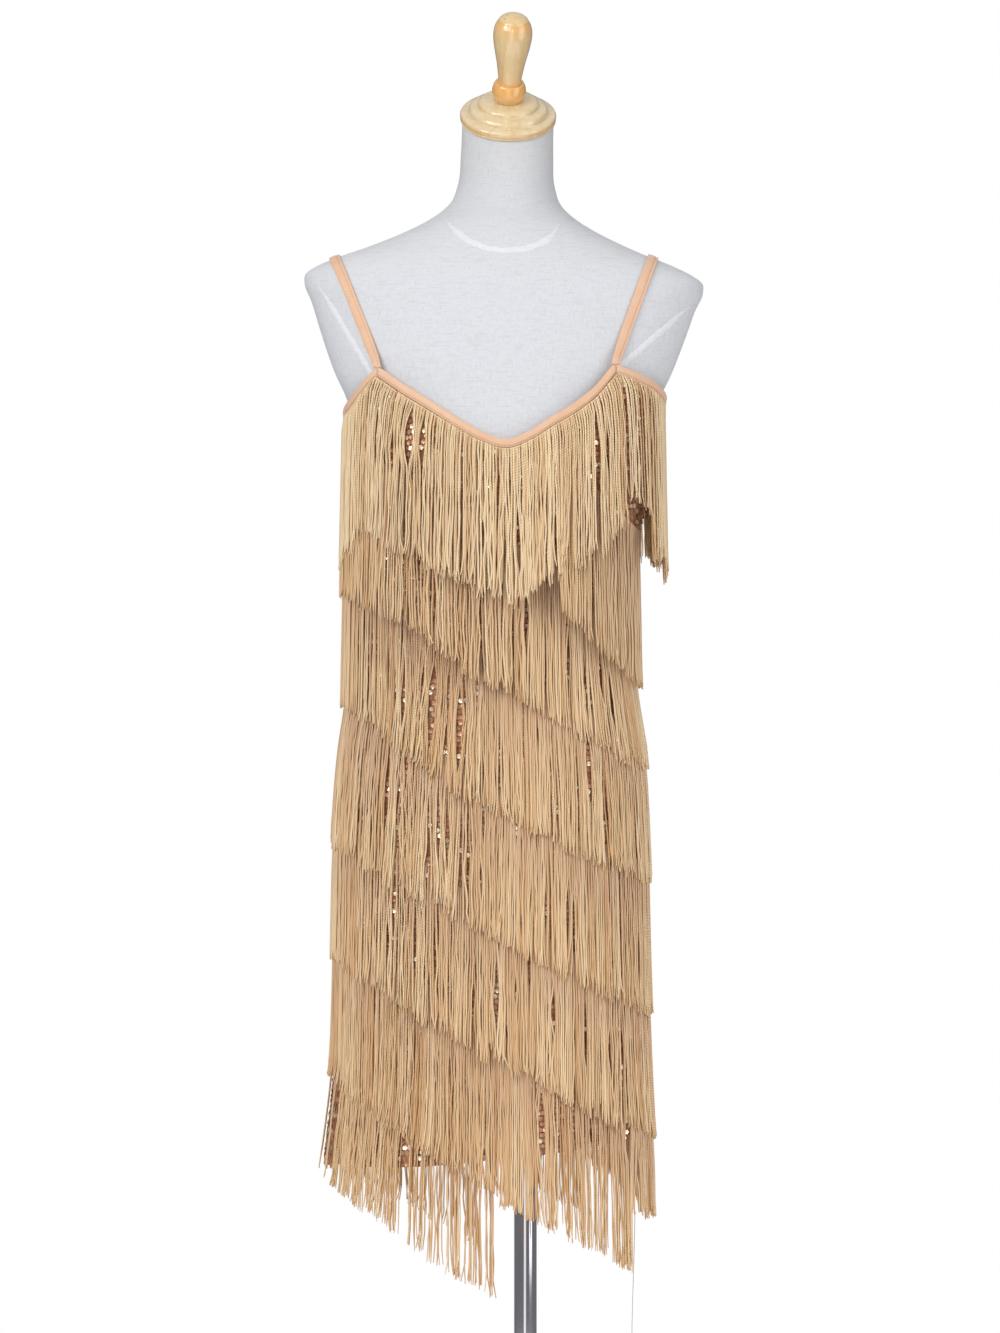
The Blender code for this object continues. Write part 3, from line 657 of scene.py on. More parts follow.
@dataclass
class MeshDraft:
    """Vertices, faces and their data, gathered before they become one mesh."""

    points: list[np.ndarray] = field(default_factory=list)
    faces: list[np.ndarray] = field(default_factory=list)
    uvs: list[np.ndarray] = field(default_factory=list)
    shades: list[np.ndarray] = field(default_factory=list)
    count: int = 0

    def add(
        self, points: np.ndarray, faces: np.ndarray, uvs: np.ndarray | None = None, shades: Any = 0.0
    ) -> None:
        """Adds a batch of quads or triangles.

        Args:
            points: Places of the batch's vertices, one row each.
            faces: Rows of vertex numbers, counted from the batch's own first vertex.
            uvs: One pair for each face corner, in the faces' order.
            shades: One number for each vertex, or one for all of them.
        """
        self.points.append(points)
        self.faces.append(faces + self.count)
        corners = faces.size
        self.uvs.append(np.zeros((corners, 2)) if uvs is None else uvs.reshape(corners, 2))
        self.shades.append(np.broadcast_to(shades, (len(points),)))
        self.count += len(points)

    def cover(self, faces: np.ndarray) -> None:
        """Adds faces over vertices that are already there."""
        self.faces.append(faces)
        self.uvs.append(np.zeros((faces.size, 2)))

    def finish(
        self, name: str, finish: Finish, uv_name: str = "sewn", data: str = "shade", smooth: bool = True
    ) -> Object:
        """Makes the object.

        Args:
            name: The piece's name.
            finish: Its surface.
            uv_name: The name of its UV map.
            data: The name of its per-vertex number.
            smooth: Whether it shades smoothly.

        Returns:
            The new object, riding on the part's one body.
        """
        mesh = bpy.data.meshes.new(name)
        rows = [row for batch in self.faces for row in batch.tolist()]
        mesh.from_pydata(np.concatenate(self.points), [], rows)
        layer = mesh.uv_layers.new(name=uv_name)
        layer.uv.foreach_set("vector", np.concatenate(self.uvs).astype(np.float32).ravel())
        shade = mesh.attributes.new(data, "FLOAT", "POINT")
        shade.data.foreach_set("value", np.concatenate(self.shades).astype(np.float32))
        mesh.materials.append(finish.material())
        if smooth:
            mesh.shade_smooth()
        made = bpy.data.objects.new(name, mesh)
        bpy.context.scene.collection.objects.link(made)
        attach(made, "root")
        LOG.info("%s: %d faces", name, len(mesh.polygons))
        return made


def net_faces(rows: int, columns: int, closed: bool) -> np.ndarray:
    """Quads over a net of points.

    Args:
        rows: How many rows the net has.
        columns: How many points each row has.
        closed: Whether each row runs round to its own start.

    Returns:
        One row of four vertex numbers for each quad.
    """
    across = columns if closed else columns - 1
    r, c = np.meshgrid(np.arange(rows - 1), np.arange(across), indexing="ij")
    here, there = r * columns + c, r * columns + (c + 1) % columns
    return np.stack([here, there, there + columns, here + columns], axis=-1).reshape(-1, 4)


def net_uvs(rows: np.ndarray, columns: np.ndarray) -> np.ndarray:
    """UV corners for the quads of a net.

    Args:
        rows: The V value of each row.
        columns: The U value of each column line, one more than the quads across.

    Returns:
        Four pairs for each quad, in the order of net_faces.
    """
    left, right = columns[:-1], columns[1:]
    low, high = rows[:-1], rows[1:]
    u = np.stack([left, right, right, left], axis=-1)[None].repeat(len(low), axis=0)
    v = np.stack([low, low, high, high], axis=-1)[:, None].repeat(len(left), axis=1)
    return np.stack([u, v], axis=-1)


def repeated(faces: np.ndarray, copies: int, points: int) -> np.ndarray:
    """The faces of one small mesh, repeated for a batch of equal ones.

    Args:
        faces: Rows of vertex numbers of the first one.
        copies: How many there are.
        points: How many vertices each of them has.

    Returns:
        The faces of all of them.
    """
    starts = (np.arange(copies) * points)[:, None, None]
    return (faces[None] + starts).reshape(-1, faces.shape[1])


@dataclass
class DressFormShape:
    """The limbless form as one surface, with a hard shell's even curves."""

    lean: float = 0.025
    lean_x: float = -0.0015
    lean_z: float = 1.292
    level_below: float = 0.70
    sections: tuple[FormSection, ...] = (
        FormSection(0.690, 0.114, 0.080, 0.088, 2.3, 0),
        FormSection(0.697, 0.123, 0.089, 0.098, 2.3, 0),
        FormSection(0.740, 0.130, 0.094, 0.106, 2.3, 0),
        FormSection(0.800, 0.128, 0.094, 0.106, 2.3, 0),
        FormSection(0.860, 0.119, 0.090, 0.096, 2.2, 0),
        FormSection(0.920, 0.111, 0.086, 0.084, 2.2, 0),
        FormSection(0.965, 0.109, 0.086, 0.079, 2.2, 0),
        FormSection(1.010, 0.114, 0.094, 0.081, 2.2, 0),
        FormSection(1.055, 0.126, 0.110, 0.087, 2.3, 0),
        FormSection(1.100, 0.138, 0.122, 0.092, 2.3, 0),
        FormSection(1.145, 0.1460, 0.119, 0.095, 2.3, 0),
        FormSection(1.168, 0.1535, 0.113, 0.096, 2.3, 0),
        FormSection(1.195, 0.1665, 0.107, 0.096, 2.3, 0),
        FormSection(1.235, 0.1815, 0.097, 0.095, 2.3, 0),
        FormSection(1.265, 0.1915, 0.090, 0.092, 2.2, 0),
        FormSection(1.284, 0.1990, 0.085, 0.090, 2.1, 0),
        FormSection(1.294, 0.1970, 0.081, 0.088, 2.0, 0),
        FormSection(1.301, 0.1860, 0.078, 0.086, 2.0, 0),
        FormSection(1.310, 0.1660, 0.074, 0.084, 2.0, 0),
        FormSection(1.320, 0.1390, 0.069, 0.080, 2.0, 0),
        FormSection(1.336, 0.1015, 0.062, 0.075, 2.0, 0),
        FormSection(1.352, 0.0730, 0.055, 0.070, 2.0, 3),
        FormSection(1.366, 0.0565, 0.049, 0.065, 2.0, 9),
        FormSection(1.384, 0.0488, 0.045, 0.060, 2.0, 16),
        FormSection(1.414, 0.0462, 0.042, 0.055, 2.0, 25),
        FormSection(1.451, 0.0455, 0.0415, 0.0495, 2.0, 33),
    )

    def section(self, height: float) -> FormSection:
        """The form's section at a height, read from the table as a smooth curve.

        Args:
            height: The height above the floor.

        Returns:
            The section there.
        """
        heights = [s.height for s in self.sections]
        values = [
            float(curve_at(heights, [getattr(s, name) for s in self.sections], height))
            for name in FormSection._fields[1:]
        ]
        return FormSection(height, *values)

    def leant(self, x: float, y: float, z: float) -> Vector:
        """A point of the upright form, moved to where the leaning form has it."""
        slope = self.lean if z > self.level_below else 0.0
        return Vector((FORM_X + self.lean_x + x + self.lean * (z - self.lean_z), y, z - slope * x))

    def point(self, section: FormSection, angle: float) -> Vector:
        """A point of the surface.

        Args:
            section: The ring that it lies on.
            angle: Its direction from the ring's middle, with the front at -90 degrees.

        Returns:
            The point in space.
        """
        middle = (section.back - section.front) / 2
        depth = (section.front + section.back) / 2
        c, s = math.cos(angle), math.sin(angle)
        power = section.squareness
        reach = (abs(c / section.half_width) ** power + abs(s / depth) ** power) ** (-1 / power)
        tilt = math.radians(section.tilt)
        placed = self.leant(c * reach, middle + s * reach * math.cos(tilt), section.height)
        placed.z += s * reach * math.sin(tilt)
        return placed


@dataclass
class DressForm:
    """The linen-covered form with its turned neck cap and handle."""

    shape: DressFormShape = field(default_factory=DressFormShape)
    points: int = 128
    rings: int = 150
    fit_gap: float = 0.0003
    cap_height: float = 0.0225
    handle_length: float = 0.092
    handle_turn: float = 4.0
    seam_width: float = 0.0065
    seam_rise: float = 0.0004
    ease: float = 0.55
    surface: BVHTree | None = None

    def build(self) -> None:
        """Builds the torso, its seams, the cap and the handle."""
        self.build_torso()
        self.build_seams()
        self.build_cap_and_handle()

    def build_torso(self) -> None:
        """Builds the torso as one smooth shell and keeps its surface for what lies on it."""
        heights = [s.height for s in self.shape.sections]
        # The rings stand closer together where the table's own rows do, as at the shoulders.
        marks = np.interp(np.linspace(0, len(heights) - 1, self.rings), np.arange(len(heights)), heights)
        angles = ring_turns(self.points)
        rings = []
        for height in marks:
            section = self.shape.section(float(height))
            rings.append([tuple(self.shape.point(section, a)) for a in angles])
        net = np.array(rings).reshape(-1, 3)
        ends = np.array([net[: self.points].mean(axis=0), net[-self.points :].mean(axis=0)])
        around = np.arange(self.points)
        after = (around + 1) % self.points
        top = len(net) - self.points
        lids = np.concatenate(
            [
                np.stack([after, around, np.full(self.points, len(net))], axis=-1),
                np.stack([around + top, after + top, np.full(self.points, len(net) + 1)], axis=-1),
            ]
        )
        draft = MeshDraft()
        draft.add(np.concatenate([net, ends]), net_faces(len(marks), self.points, True))
        draft.cover(lids)
        torso = draft.finish("torso_linen", LINEN)
        torso.data.set_sharp_from_angle(angle=math.radians(50))
        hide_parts("form_torso")
        bm = bmesh.new()
        bm.from_mesh(torso.data)
        self.surface = BVHTree.FromBMesh(bm)
        bm.free()

    def build_seams(self) -> None:
        """Lays the ragged overlaps of the linen round the neck's foot and down the arm plates."""
        rng = np.random.default_rng(11)
        draft = MeshDraft()
        for corners in (
            (
                (-0.0810, 1.3520), (-0.0730, 1.3380), (-0.0560, 1.3240), (-0.0380, 1.3165),
                (-0.0200, 1.3145), (0.0000, 1.3165), (0.0180, 1.3230), (0.0290, 1.3340),
                (0.0350, 1.3460),
            ),
            ((-0.2050, 1.2830), (-0.1890, 1.2570), (-0.1550, 1.1996), (-0.1330, 1.1550)),
            ((0.1640, 1.2640), (0.1460, 1.2480), (0.0970, 1.2045), (0.0700, 1.1750)),
        ):
            for direction in (1.0, -1.0):
                self.add_seam(draft, self.cast_route(corners, direction), rng)
        seams = draft.finish("linen_overlaps", LINEN_SEAM)

    def cast_route(self, corners: Sequence[tuple[float, float]], direction: float) -> list[Vector]:
        """A line on the torso, cast from the front or from behind.

        Args:
            corners: The line's corners as X and Z.
            direction: 1 to cast from the front, -1 from behind.

        Returns:
            Points on the torso, those that miss it left out.
        """
        flat = evened(even_steps([Vector((x, 0.0, z)) for x, z in corners], 60), 12)
        route = []
        for spot in flat:
            hit = self.surface.ray_cast(
                Vector((spot.x, -direction, spot.z)), Vector((0.0, direction, 0.0))
            )[0]
            if hit is not None:
                route.append(hit)
        return route

    def add_seam(self, draft: MeshDraft, route: Sequence[Vector], rng: Generator) -> None:
        """Adds one overlap strip to a draft.

        Args:
            draft: The mesh that it goes into.
            route: The line that it follows.
            rng: The source of its ragged edge.
        """
        if len(route) < 4:
            return
        last = len(route) - 1
        rows = []
        for i, spot in enumerate(route):
            normal = self.surface.find_nearest(spot)[1]
            ahead = (route[min(i + 1, last)] - route[max(i - 1, 0)]).normalized()
            across = ahead.cross(normal).normalized()
            taper = min(1.0, 6 * i / last, 6 * (last - i) / last)
            half = self.seam_width / 2 * max(taper, 0.1)
            left, right = half * rng.uniform(0.75, 1.15), half * rng.uniform(0.75, 1.15)
            rows.append(
                [
                    tuple(spot - across * left + normal * (0.02 * MM)),
                    tuple(spot - across * left * 0.6 + normal * self.seam_rise),
                    tuple(spot + across * right * 0.6 + normal * self.seam_rise),
                    tuple(spot + across * right + normal * (0.02 * MM)),
                ]
            )
        draft.add(np.array(rows).reshape(-1, 3), net_faces(len(rows), 4, False))

    def build_cap_and_handle(self) -> None:
        """Turns the cap and the handle, square to the slanted neck."""
        top = self.shape.sections[-1]
        neck = self.shape.leant(0.0, (top.back - top.front) / 2, top.height)
        turn = Euler((math.radians(top.tilt), math.atan(self.shape.lean), 0.0))
        upward = Vector((0.0, 0.0, 1.0))
        upward.rotate(turn)
        high = self.cap_height
        cap = (
            (0.0, high, 0.0),
            (0.0180, high - 0.0003, 0.0),
            (0.0270, high - 0.0012, 0.05),
            (0.0300, high - 0.0034, 0.15),
            (0.0309, high - 0.0062, 0.10),
            (0.0340, high - 0.0068, 0.0),
            (0.0380, high - 0.0086, 0.05),
            (0.0396, high - 0.0112, 0.15),
            (0.0402, high - 0.0132, 0.05),
            (0.0440, high - 0.0137, 0.0),
            (0.0470, high - 0.0148, 0.10),
            (0.0480, high - 0.0166, 0.30),
            (0.0479, high - 0.0190, 0.35),
            (0.0466, 0.0006, 0.25),
            (0.0455, 0.0, 0.0),
            (0.0, 0.0, 0.0),
        )
        seat = neck + upward * self.fit_gap
        piece = self.turned("neck_cap_maple", cap, seat, turn, MAPLE)
        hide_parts("neck_cap")
        long = self.handle_length
        handle = (
            (0.0, long, 0.0),
            (0.0062, long - 0.0008, 0.05),
            (0.0110, long - 0.0030, 0.10),
            (0.0142, long - 0.0058, 0.20),
            (0.0148, long - 0.0072, 0.8),
            (0.0156, long - 0.0082, 0.9),
            (0.0176, long - 0.0118, 0.5),
            (0.0189, long - 0.0165, 0.2),
            (0.0193, long - 0.0215, 0.12),
            (0.0189, long - 0.0275, 0.10),
            (0.0176, 0.0560, 0.10),
            (0.0142, 0.0400, 0.10),
            (0.0117, 0.0240, 0.25),
            (0.0110, 0.0176, 0.5),
            (0.0130, 0.0184, 0.9),
            (0.0146, 0.0180, 1.0),
            (0.0162, 0.0140, 0.95),
            (0.0169, 0.0095, 0.85),
            (0.0161, 0.0046, 0.8),
            (0.0140, 0.0006, 0.6),
            (0.0132, 0.0, 0.3),
            (0.0, 0.0, 0.0),
        )
        seat = seat + upward * (self.cap_height + self.fit_gap)
        facing = Euler((turn.x, turn.y, math.radians(self.handle_turn)))
        piece = self.turned("neck_handle_maple", handle, seat, facing, KNOTTED_MAPLE)
        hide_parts("neck_handle")

    def turned(
        self,
        name: str,
        profile: Sequence[tuple[float, float, float]],
        seat: Vector,
        turn: Euler,
        finish: VarnishedMaple,
    ) -> Object:
        """Turns a wooden piece on a lathe.

        Args:
            name: The piece's name.
            profile: Radius, height and share of end grain at each mark, from its top down.
            seat: Where its foot's middle stands.
            turn: How it leans.
            finish: Its wood.

        Returns:
            The new object.
        """
        marks = np.arange(len(profile))
        fine = np.linspace(0, len(profile) - 1, (len(profile) - 1) * 5 + 1)
        radius, height, end_grain = (self.rounded(marks, [p[k] for p in profile], fine) for k in range(3))
        made = turned_piece(name, radius, height, end_grain, finish, "end_grain")
        made.location = seat
        made.rotation_euler = turn
        return made

    def rounded(self, marks: np.ndarray, values: Sequence[float], fine: np.ndarray) -> np.ndarray:
        """A profile's values at finer marks, with its corners eased but never past the marks.

        Args:
            marks: The numbers of the profile's own marks.
            values: The values at them.
            fine: The finer marks.

        Returns:
            The values at the finer marks.
        """
        eased = curve_at(marks, values, fine)
        straight = np.interp(fine, marks, values)
        blend = self.ease * eased + (1 - self.ease) * straight
        return np.clip(blend, min(values), max(values))


def turned_piece(
    name: str, radius: np.ndarray, height: np.ndarray, data: Any, finish: Finish, data_name: str
) -> Object:
    """A lathe-turned mesh, smooth but for its sharp corners.

    Args:
        name: The piece's name.
        radius: Radii along its profile, from the top middle to the bottom middle.
        height: The heights that go with them.
        data: A number for each point of the profile, kept on the mesh.
        finish: Its surface.
        data_name: What that number is called.

    Returns:
        The new object, at the origin.
    """
    steps = 96
    angles = ring_turns(steps)
    points = np.stack(
        [
            radius[:, None] * np.cos(angles),
            radius[:, None] * np.sin(angles),
            np.repeat(height[:, None], steps, axis=1),
        ],
        axis=-1,
    ).reshape(-1, 3)
    draft = MeshDraft()
    walked = distance_along(np.stack([radius, height], axis=-1))
    shades = np.repeat(np.broadcast_to(data, radius.shape), steps)
    faces = net_faces(len(radius), steps, True)[:, ::-1]
    draft.add(points, faces, net_uvs(walked, np.linspace(0, 1, steps + 1)), shades)
    made = draft.finish(name, finish, data=data_name)
    bm = bmesh.new()
    bm.from_mesh(made.data)
    bmesh.ops.remove_doubles(bm, verts=bm.verts, dist=0.000002)
    bmesh.ops.recalc_face_normals(bm, faces=bm.faces)
    bm.to_mesh(made.data)
    bm.free()
    made.data.set_sharp_from_angle(angle=math.radians(38))
    return made


@dataclass
class Stand:
    """The chrome pole in its round steel base, and the flange under the form."""

    base_radius: float = 0.160
    rim: float = 0.007
    crown: float = 0.016
    dome_rise: float = 0.0085
    collar_radius: float = 0.019
    collar_top: float = 0.062
    pole_radius: float = 0.0113
    pole_foot: float = 0.010
    gap: float = 0.0003
    flange_radius: float = 0.030
    flange_height: float = 0.022
    socket_depth: float = 0.018
    form_underside: float = 0.690

    def build(self) -> None:
        """Builds the base, the flange and the pole."""
        bore = self.pole_radius + self.gap
        dome = [
            (self.base_radius * share, self.rim + self.dome_rise * (1 - share**1.6))
            for share in np.linspace(0.2, 0.97, 14)
        ]
        wide, rim, crown = self.base_radius, self.rim, self.crown
        collar, collar_top = self.collar_radius, self.collar_top
        base = [
            (0.0, self.pole_foot - self.gap),
            (bore, self.pole_foot - self.gap),
            (bore, collar_top),
            (collar - 0.002, collar_top),
            (collar - 0.0006, collar_top - 0.0006),
            (collar, collar_top - 0.002),
            (collar, crown + 0.008),
            (collar + 0.002, crown + 0.003),
            (collar + 0.008, crown),
            *dome,
            (wide - 0.0015, rim - 0.0004),
            (wide, rim - 0.002),
            (wide, 0.001),
            (wide - 0.001, 0.0),
            (0.0, 0.0),
        ]
        self.metal("base_steel", "stand_base", base, STEEL, "steel")
        under = self.form_underside - self.gap
        bottom = under - self.flange_height
        socket = bottom + self.socket_depth
        wide = self.flange_radius
        flange = [
            (0.0, under),
            (wide - 0.0008, under),
            (wide, under - 0.0008),
            (wide, under - 0.0034),
            (wide - 0.0008, under - 0.004),
            (collar + 0.001, under - 0.006),
            (collar, under - 0.008),
            (collar, bottom + 0.0008),
            (collar - 0.0008, bottom),
            (bore, bottom),
            (bore, socket),
            (0.0, socket),
        ]
        self.metal("flange_steel", "form_flange", flange, STEEL, "steel")
        top = socket - self.gap
        thick, foot = self.pole_radius, self.pole_foot
        pole = [
            (0.0, top),
            (thick - 0.0006, top),
            (thick, top - 0.0006),
            (thick, foot + 0.0006),
            (thick - 0.0006, foot),
            (0.0, foot),
        ]
        self.metal("pole_chrome", "stand_pole", pole, CHROME, "chrome")

    def metal(
        self, name: str, node: str, profile: Sequence[tuple[float, float]], finish: Finish, slot: str
    ) -> None:
        """Turns one metal piece in place of its CAD node.

        Args:
            name: The piece's name.
            node: The node that it stands for.
            profile: Radius and height at each mark, from its top down.
            finish: Its surface.
            slot: Not used.
        """
        radius, height = (np.array(column) for column in zip(*profile))
        made = turned_piece(name, radius, height, 0.0, finish, "shade")
        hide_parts(node)


@dataclass
class DressTube:
    """The outer face of the dress as one smooth tube, which everything on it shares."""

    hem_left: float = 0.414
    hem_right: float = 0.442
    hem_folds: int = 6
    fold_depth: float = 0.003
    folds_begin: float = 0.80
    sections: tuple[TubeSection, ...] = (
        TubeSection(0.400, 0.1800, 0.1420, 0.1120, 0.1160),
        TubeSection(0.500, 0.1700, 0.1400, 0.1100, 0.1140),
        TubeSection(0.620, 0.1680, 0.1390, 0.1120, 0.1150),
        TubeSection(0.720, 0.1680, 0.1390, 0.1130, 0.1160),
        TubeSection(0.820, 0.1630, 0.1350, 0.1110, 0.1130),
        TubeSection(0.880, 0.1560, 0.1270, 0.1070, 0.1040),
        TubeSection(0.950, 0.1560, 0.1210, 0.1050, 0.0940),
        TubeSection(1.010, 0.1580, 0.1260, 0.1120, 0.0930),
        TubeSection(1.060, 0.1590, 0.1380, 0.1240, 0.0950),
        TubeSection(1.110, 0.1580, 0.1480, 0.1310, 0.0990),
        TubeSection(1.150, 0.1600, 0.1545, 0.1280, 0.1010),
        TubeSection(1.200, 0.1740, 0.1690, 0.1160, 0.1030),
    )
    column_section: TubeSection = TubeSection(1.1, 0.151, 0.149, 0.130, 0.099)
    anchors: tuple[Anchor, ...] = (
        Anchor(0, -0.151, 0),
        Anchor(3, -0.1225, -1),
        Anchor(8, 0.001, -1),
        Anchor(13, 0.109, -1),
        Anchor(16, 0.149, 0),
        Anchor(19, 0.115, 1),
        Anchor(24, 0.000, 1),
        Anchor(29, -0.120, 1),
        Anchor(32, -0.151, 0),
    )
    # The top edge runs smoothly between the strap points, where it has its peaks.
    edges: tuple[tuple[EdgeMark, ...], ...] = (
        (
            EdgeMark(3, 1.190), EdgeMark(4, 1.173), EdgeMark(5, 1.158), EdgeMark(6, 1.142),
            EdgeMark(7, 1.127), EdgeMark(8, 1.119), EdgeMark(9, 1.127), EdgeMark(10, 1.141),
            EdgeMark(11, 1.154), EdgeMark(12, 1.170), EdgeMark(13, 1.193),
        ),
        (EdgeMark(13, 1.193), EdgeMark(14, 1.181), EdgeMark(15, 1.169), EdgeMark(16, 1.160),
         EdgeMark(17, 1.154), EdgeMark(19, 1.172)),
        (EdgeMark(19, 1.172), EdgeMark(21, 1.150), EdgeMark(24, 1.138), EdgeMark(27, 1.148),
         EdgeMark(29, 1.168)),
        (EdgeMark(29, 1.168), EdgeMark(31, 1.146), EdgeMark(32, 1.148), EdgeMark(33, 1.154),
         EdgeMark(34, 1.166), EdgeMark(35, 1.190)),
    )
    creases: tuple[Crease, ...] = (
        Crease(1.2, 0.76, 0.41, 0.55, 0.0016),
        Crease(4.1, 0.69, 0.42, 0.80, 0.0012),
        Crease(6.9, 0.80, 0.46, 0.45, 0.0009),
        Crease(9.3, 0.64, 0.43, 0.70, 0.0015),
        Crease(12.4, 0.84, 0.43, 0.60, 0.0011),
        Crease(14.8, 0.72, 0.44, 0.50, 0.0016),
        Crease(17.6, 0.78, 0.44, 0.75, 0.0014),
        Crease(20.2, 0.66, 0.43, 0.50, 0.0012),
        Crease(23.4, 0.81, 0.45, 0.65, 0.0010),
        Crease(26.1, 0.70, 0.42, 0.85, 0.0015),
        Crease(29.5, 0.75, 0.41, 0.55, 0.0013),
        Crease(13.2, 1.13, 1.02, 0.70, 0.0012),
        Crease(2.8, 1.14, 1.00, 0.60, 0.0013),
    )
    angles: np.ndarray = field(init=False)
    edge_places: np.ndarray = field(init=False)
    edge_heights: np.ndarray = field(init=False)

    def __post_init__(self) -> None:
        """Works out each column's direction and the top edge's curve."""
        fine = 1440
        angles = math.pi + np.arange(fine + 1) * (2 * math.pi / fine)
        reach = self.section_reach(self.column_section, angles)
        spots = np.stack([AXIS_X + reach * np.cos(angles), AXIS_Y + reach * np.sin(angles)], axis=-1)
        walked = distance_along(spots)
        half = fine // 2
        marks = []
        for anchor in self.anchors:
            if anchor.side < 0:
                marks.append(np.interp(anchor.x, spots[: half + 1, 0], walked[: half + 1]))
            elif anchor.side > 0:
                marks.append(np.interp(-anchor.x, -spots[half:, 0], walked[half:]))
            else:
                marks.append(walked[(0, half, fine)[anchor.column // 16]])
        at = np.interp(range(COLUMNS + 1), [anchor.column for anchor in self.anchors], marks)
        self.angles = np.interp(at, walked, angles)
        places, heights = [], []
        for edge in self.edges:
            u = np.linspace(edge[0].column, edge[-1].column, 120, endpoint=False)
            places.append(u)
            heights.append(curve_at([m.column for m in edge], [m.height for m in edge], u))
        self.edge_places = np.concatenate(places)
        self.edge_heights = np.concatenate(heights)

    def section_reach(self, section: TubeSection, angles: np.ndarray) -> np.ndarray:
        """The distance from the axis to a section.

        Args:
            section: The section, whose reaches may be arrays.
            angles: The directions.

        Returns:
            The distances.
        """
        c, s = np.cos(angles), np.sin(angles)
        across = np.where(c > 0, section.right - AXIS_X, section.left + AXIS_X)
        along = np.where(s > 0, section.back - AXIS_Y, section.front + AXIS_Y)
        total = np.abs(c / across) ** SQUARENESS + np.abs(s / along) ** SQUARENESS
        return total ** (-1 / SQUARENESS)

    def angle(self, u: Any) -> np.ndarray:
        """The direction of a column, which may lie between two and past the last."""
        turns = np.floor_divide(u, COLUMNS)
        return np.interp(np.mod(u, COLUMNS), np.arange(COLUMNS + 1), self.angles) + turns * 2 * math.pi

    def reach(self, u: Any, height: Any) -> np.ndarray:
        """The distance from the axis to the cloth.

        Args:
            u: Columns, one or an array.
            height: Heights that go with them.

        Returns:
            The distances, with folds and creases.
        """
        angles = self.angle(u)
        heights = [s.height for s in self.sections]
        sides = [
            curve_at(heights, [getattr(s, name) for s in self.sections], height)
            for name in ("left", "right", "front", "back")
        ]
        reach = self.section_reach(TubeSection(0.0, *sides), angles)
        share = np.clip((self.folds_begin - height) / (self.folds_begin - self.hem_left), 0, 1)
        reach = reach + self.fold_depth * share**1.5 * np.cos(self.hem_folds * angles + 0.8)
        for crease in self.creases:
            off = (np.mod(u - crease.column + COLUMNS / 2, COLUMNS) - COLUMNS / 2) / crease.width
            middle = (crease.top + crease.bottom) / 2
            along = np.clip(1 - ((height - middle) / (crease.top - middle)) ** 2, 0, 1)
            reach = reach - crease.depth * np.exp(-(off**2)) * along
        return reach

    def spot(self, u: Any, height: Any, outward: Any = 0.0) -> np.ndarray:
        """Points over the cloth, moved outward from its face."""
        return self.placed(self.angle(u), self.reach(u, height) + outward, height)

    def placed(self, angles: Any, reach: Any, height: Any) -> np.ndarray:
        """Points in space.

        Args:
            angles: Their directions from the axis.
            reach: Their distances from it.
            height: Their heights.

        Returns:
            The points, one row each.
        """
        x = FORM_X + AXIS_X + reach * np.cos(angles)
        y = AXIS_Y + reach * np.sin(angles)
        return np.stack(np.broadcast_arrays(x, y, height), axis=-1)

    def top(self, u: Any) -> np.ndarray:
        """The height of the cloth's top edge."""
        return np.interp(np.mod(np.asarray(u, float) - 3, COLUMNS) + 3, self.edge_places, self.edge_heights)

    def hem(self, u: Any) -> np.ndarray:
        """The hem's height, which falls slightly to the left.

        Args:
            u: Columns, one or an array.

        Returns:
            The heights there.
        """
        angles = self.angle(u)
        x = AXIS_X + self.section_reach(self.column_section, angles) * np.cos(angles)
        return self.hem_left + (self.hem_right - self.hem_left) * (x + 0.15) / 0.30


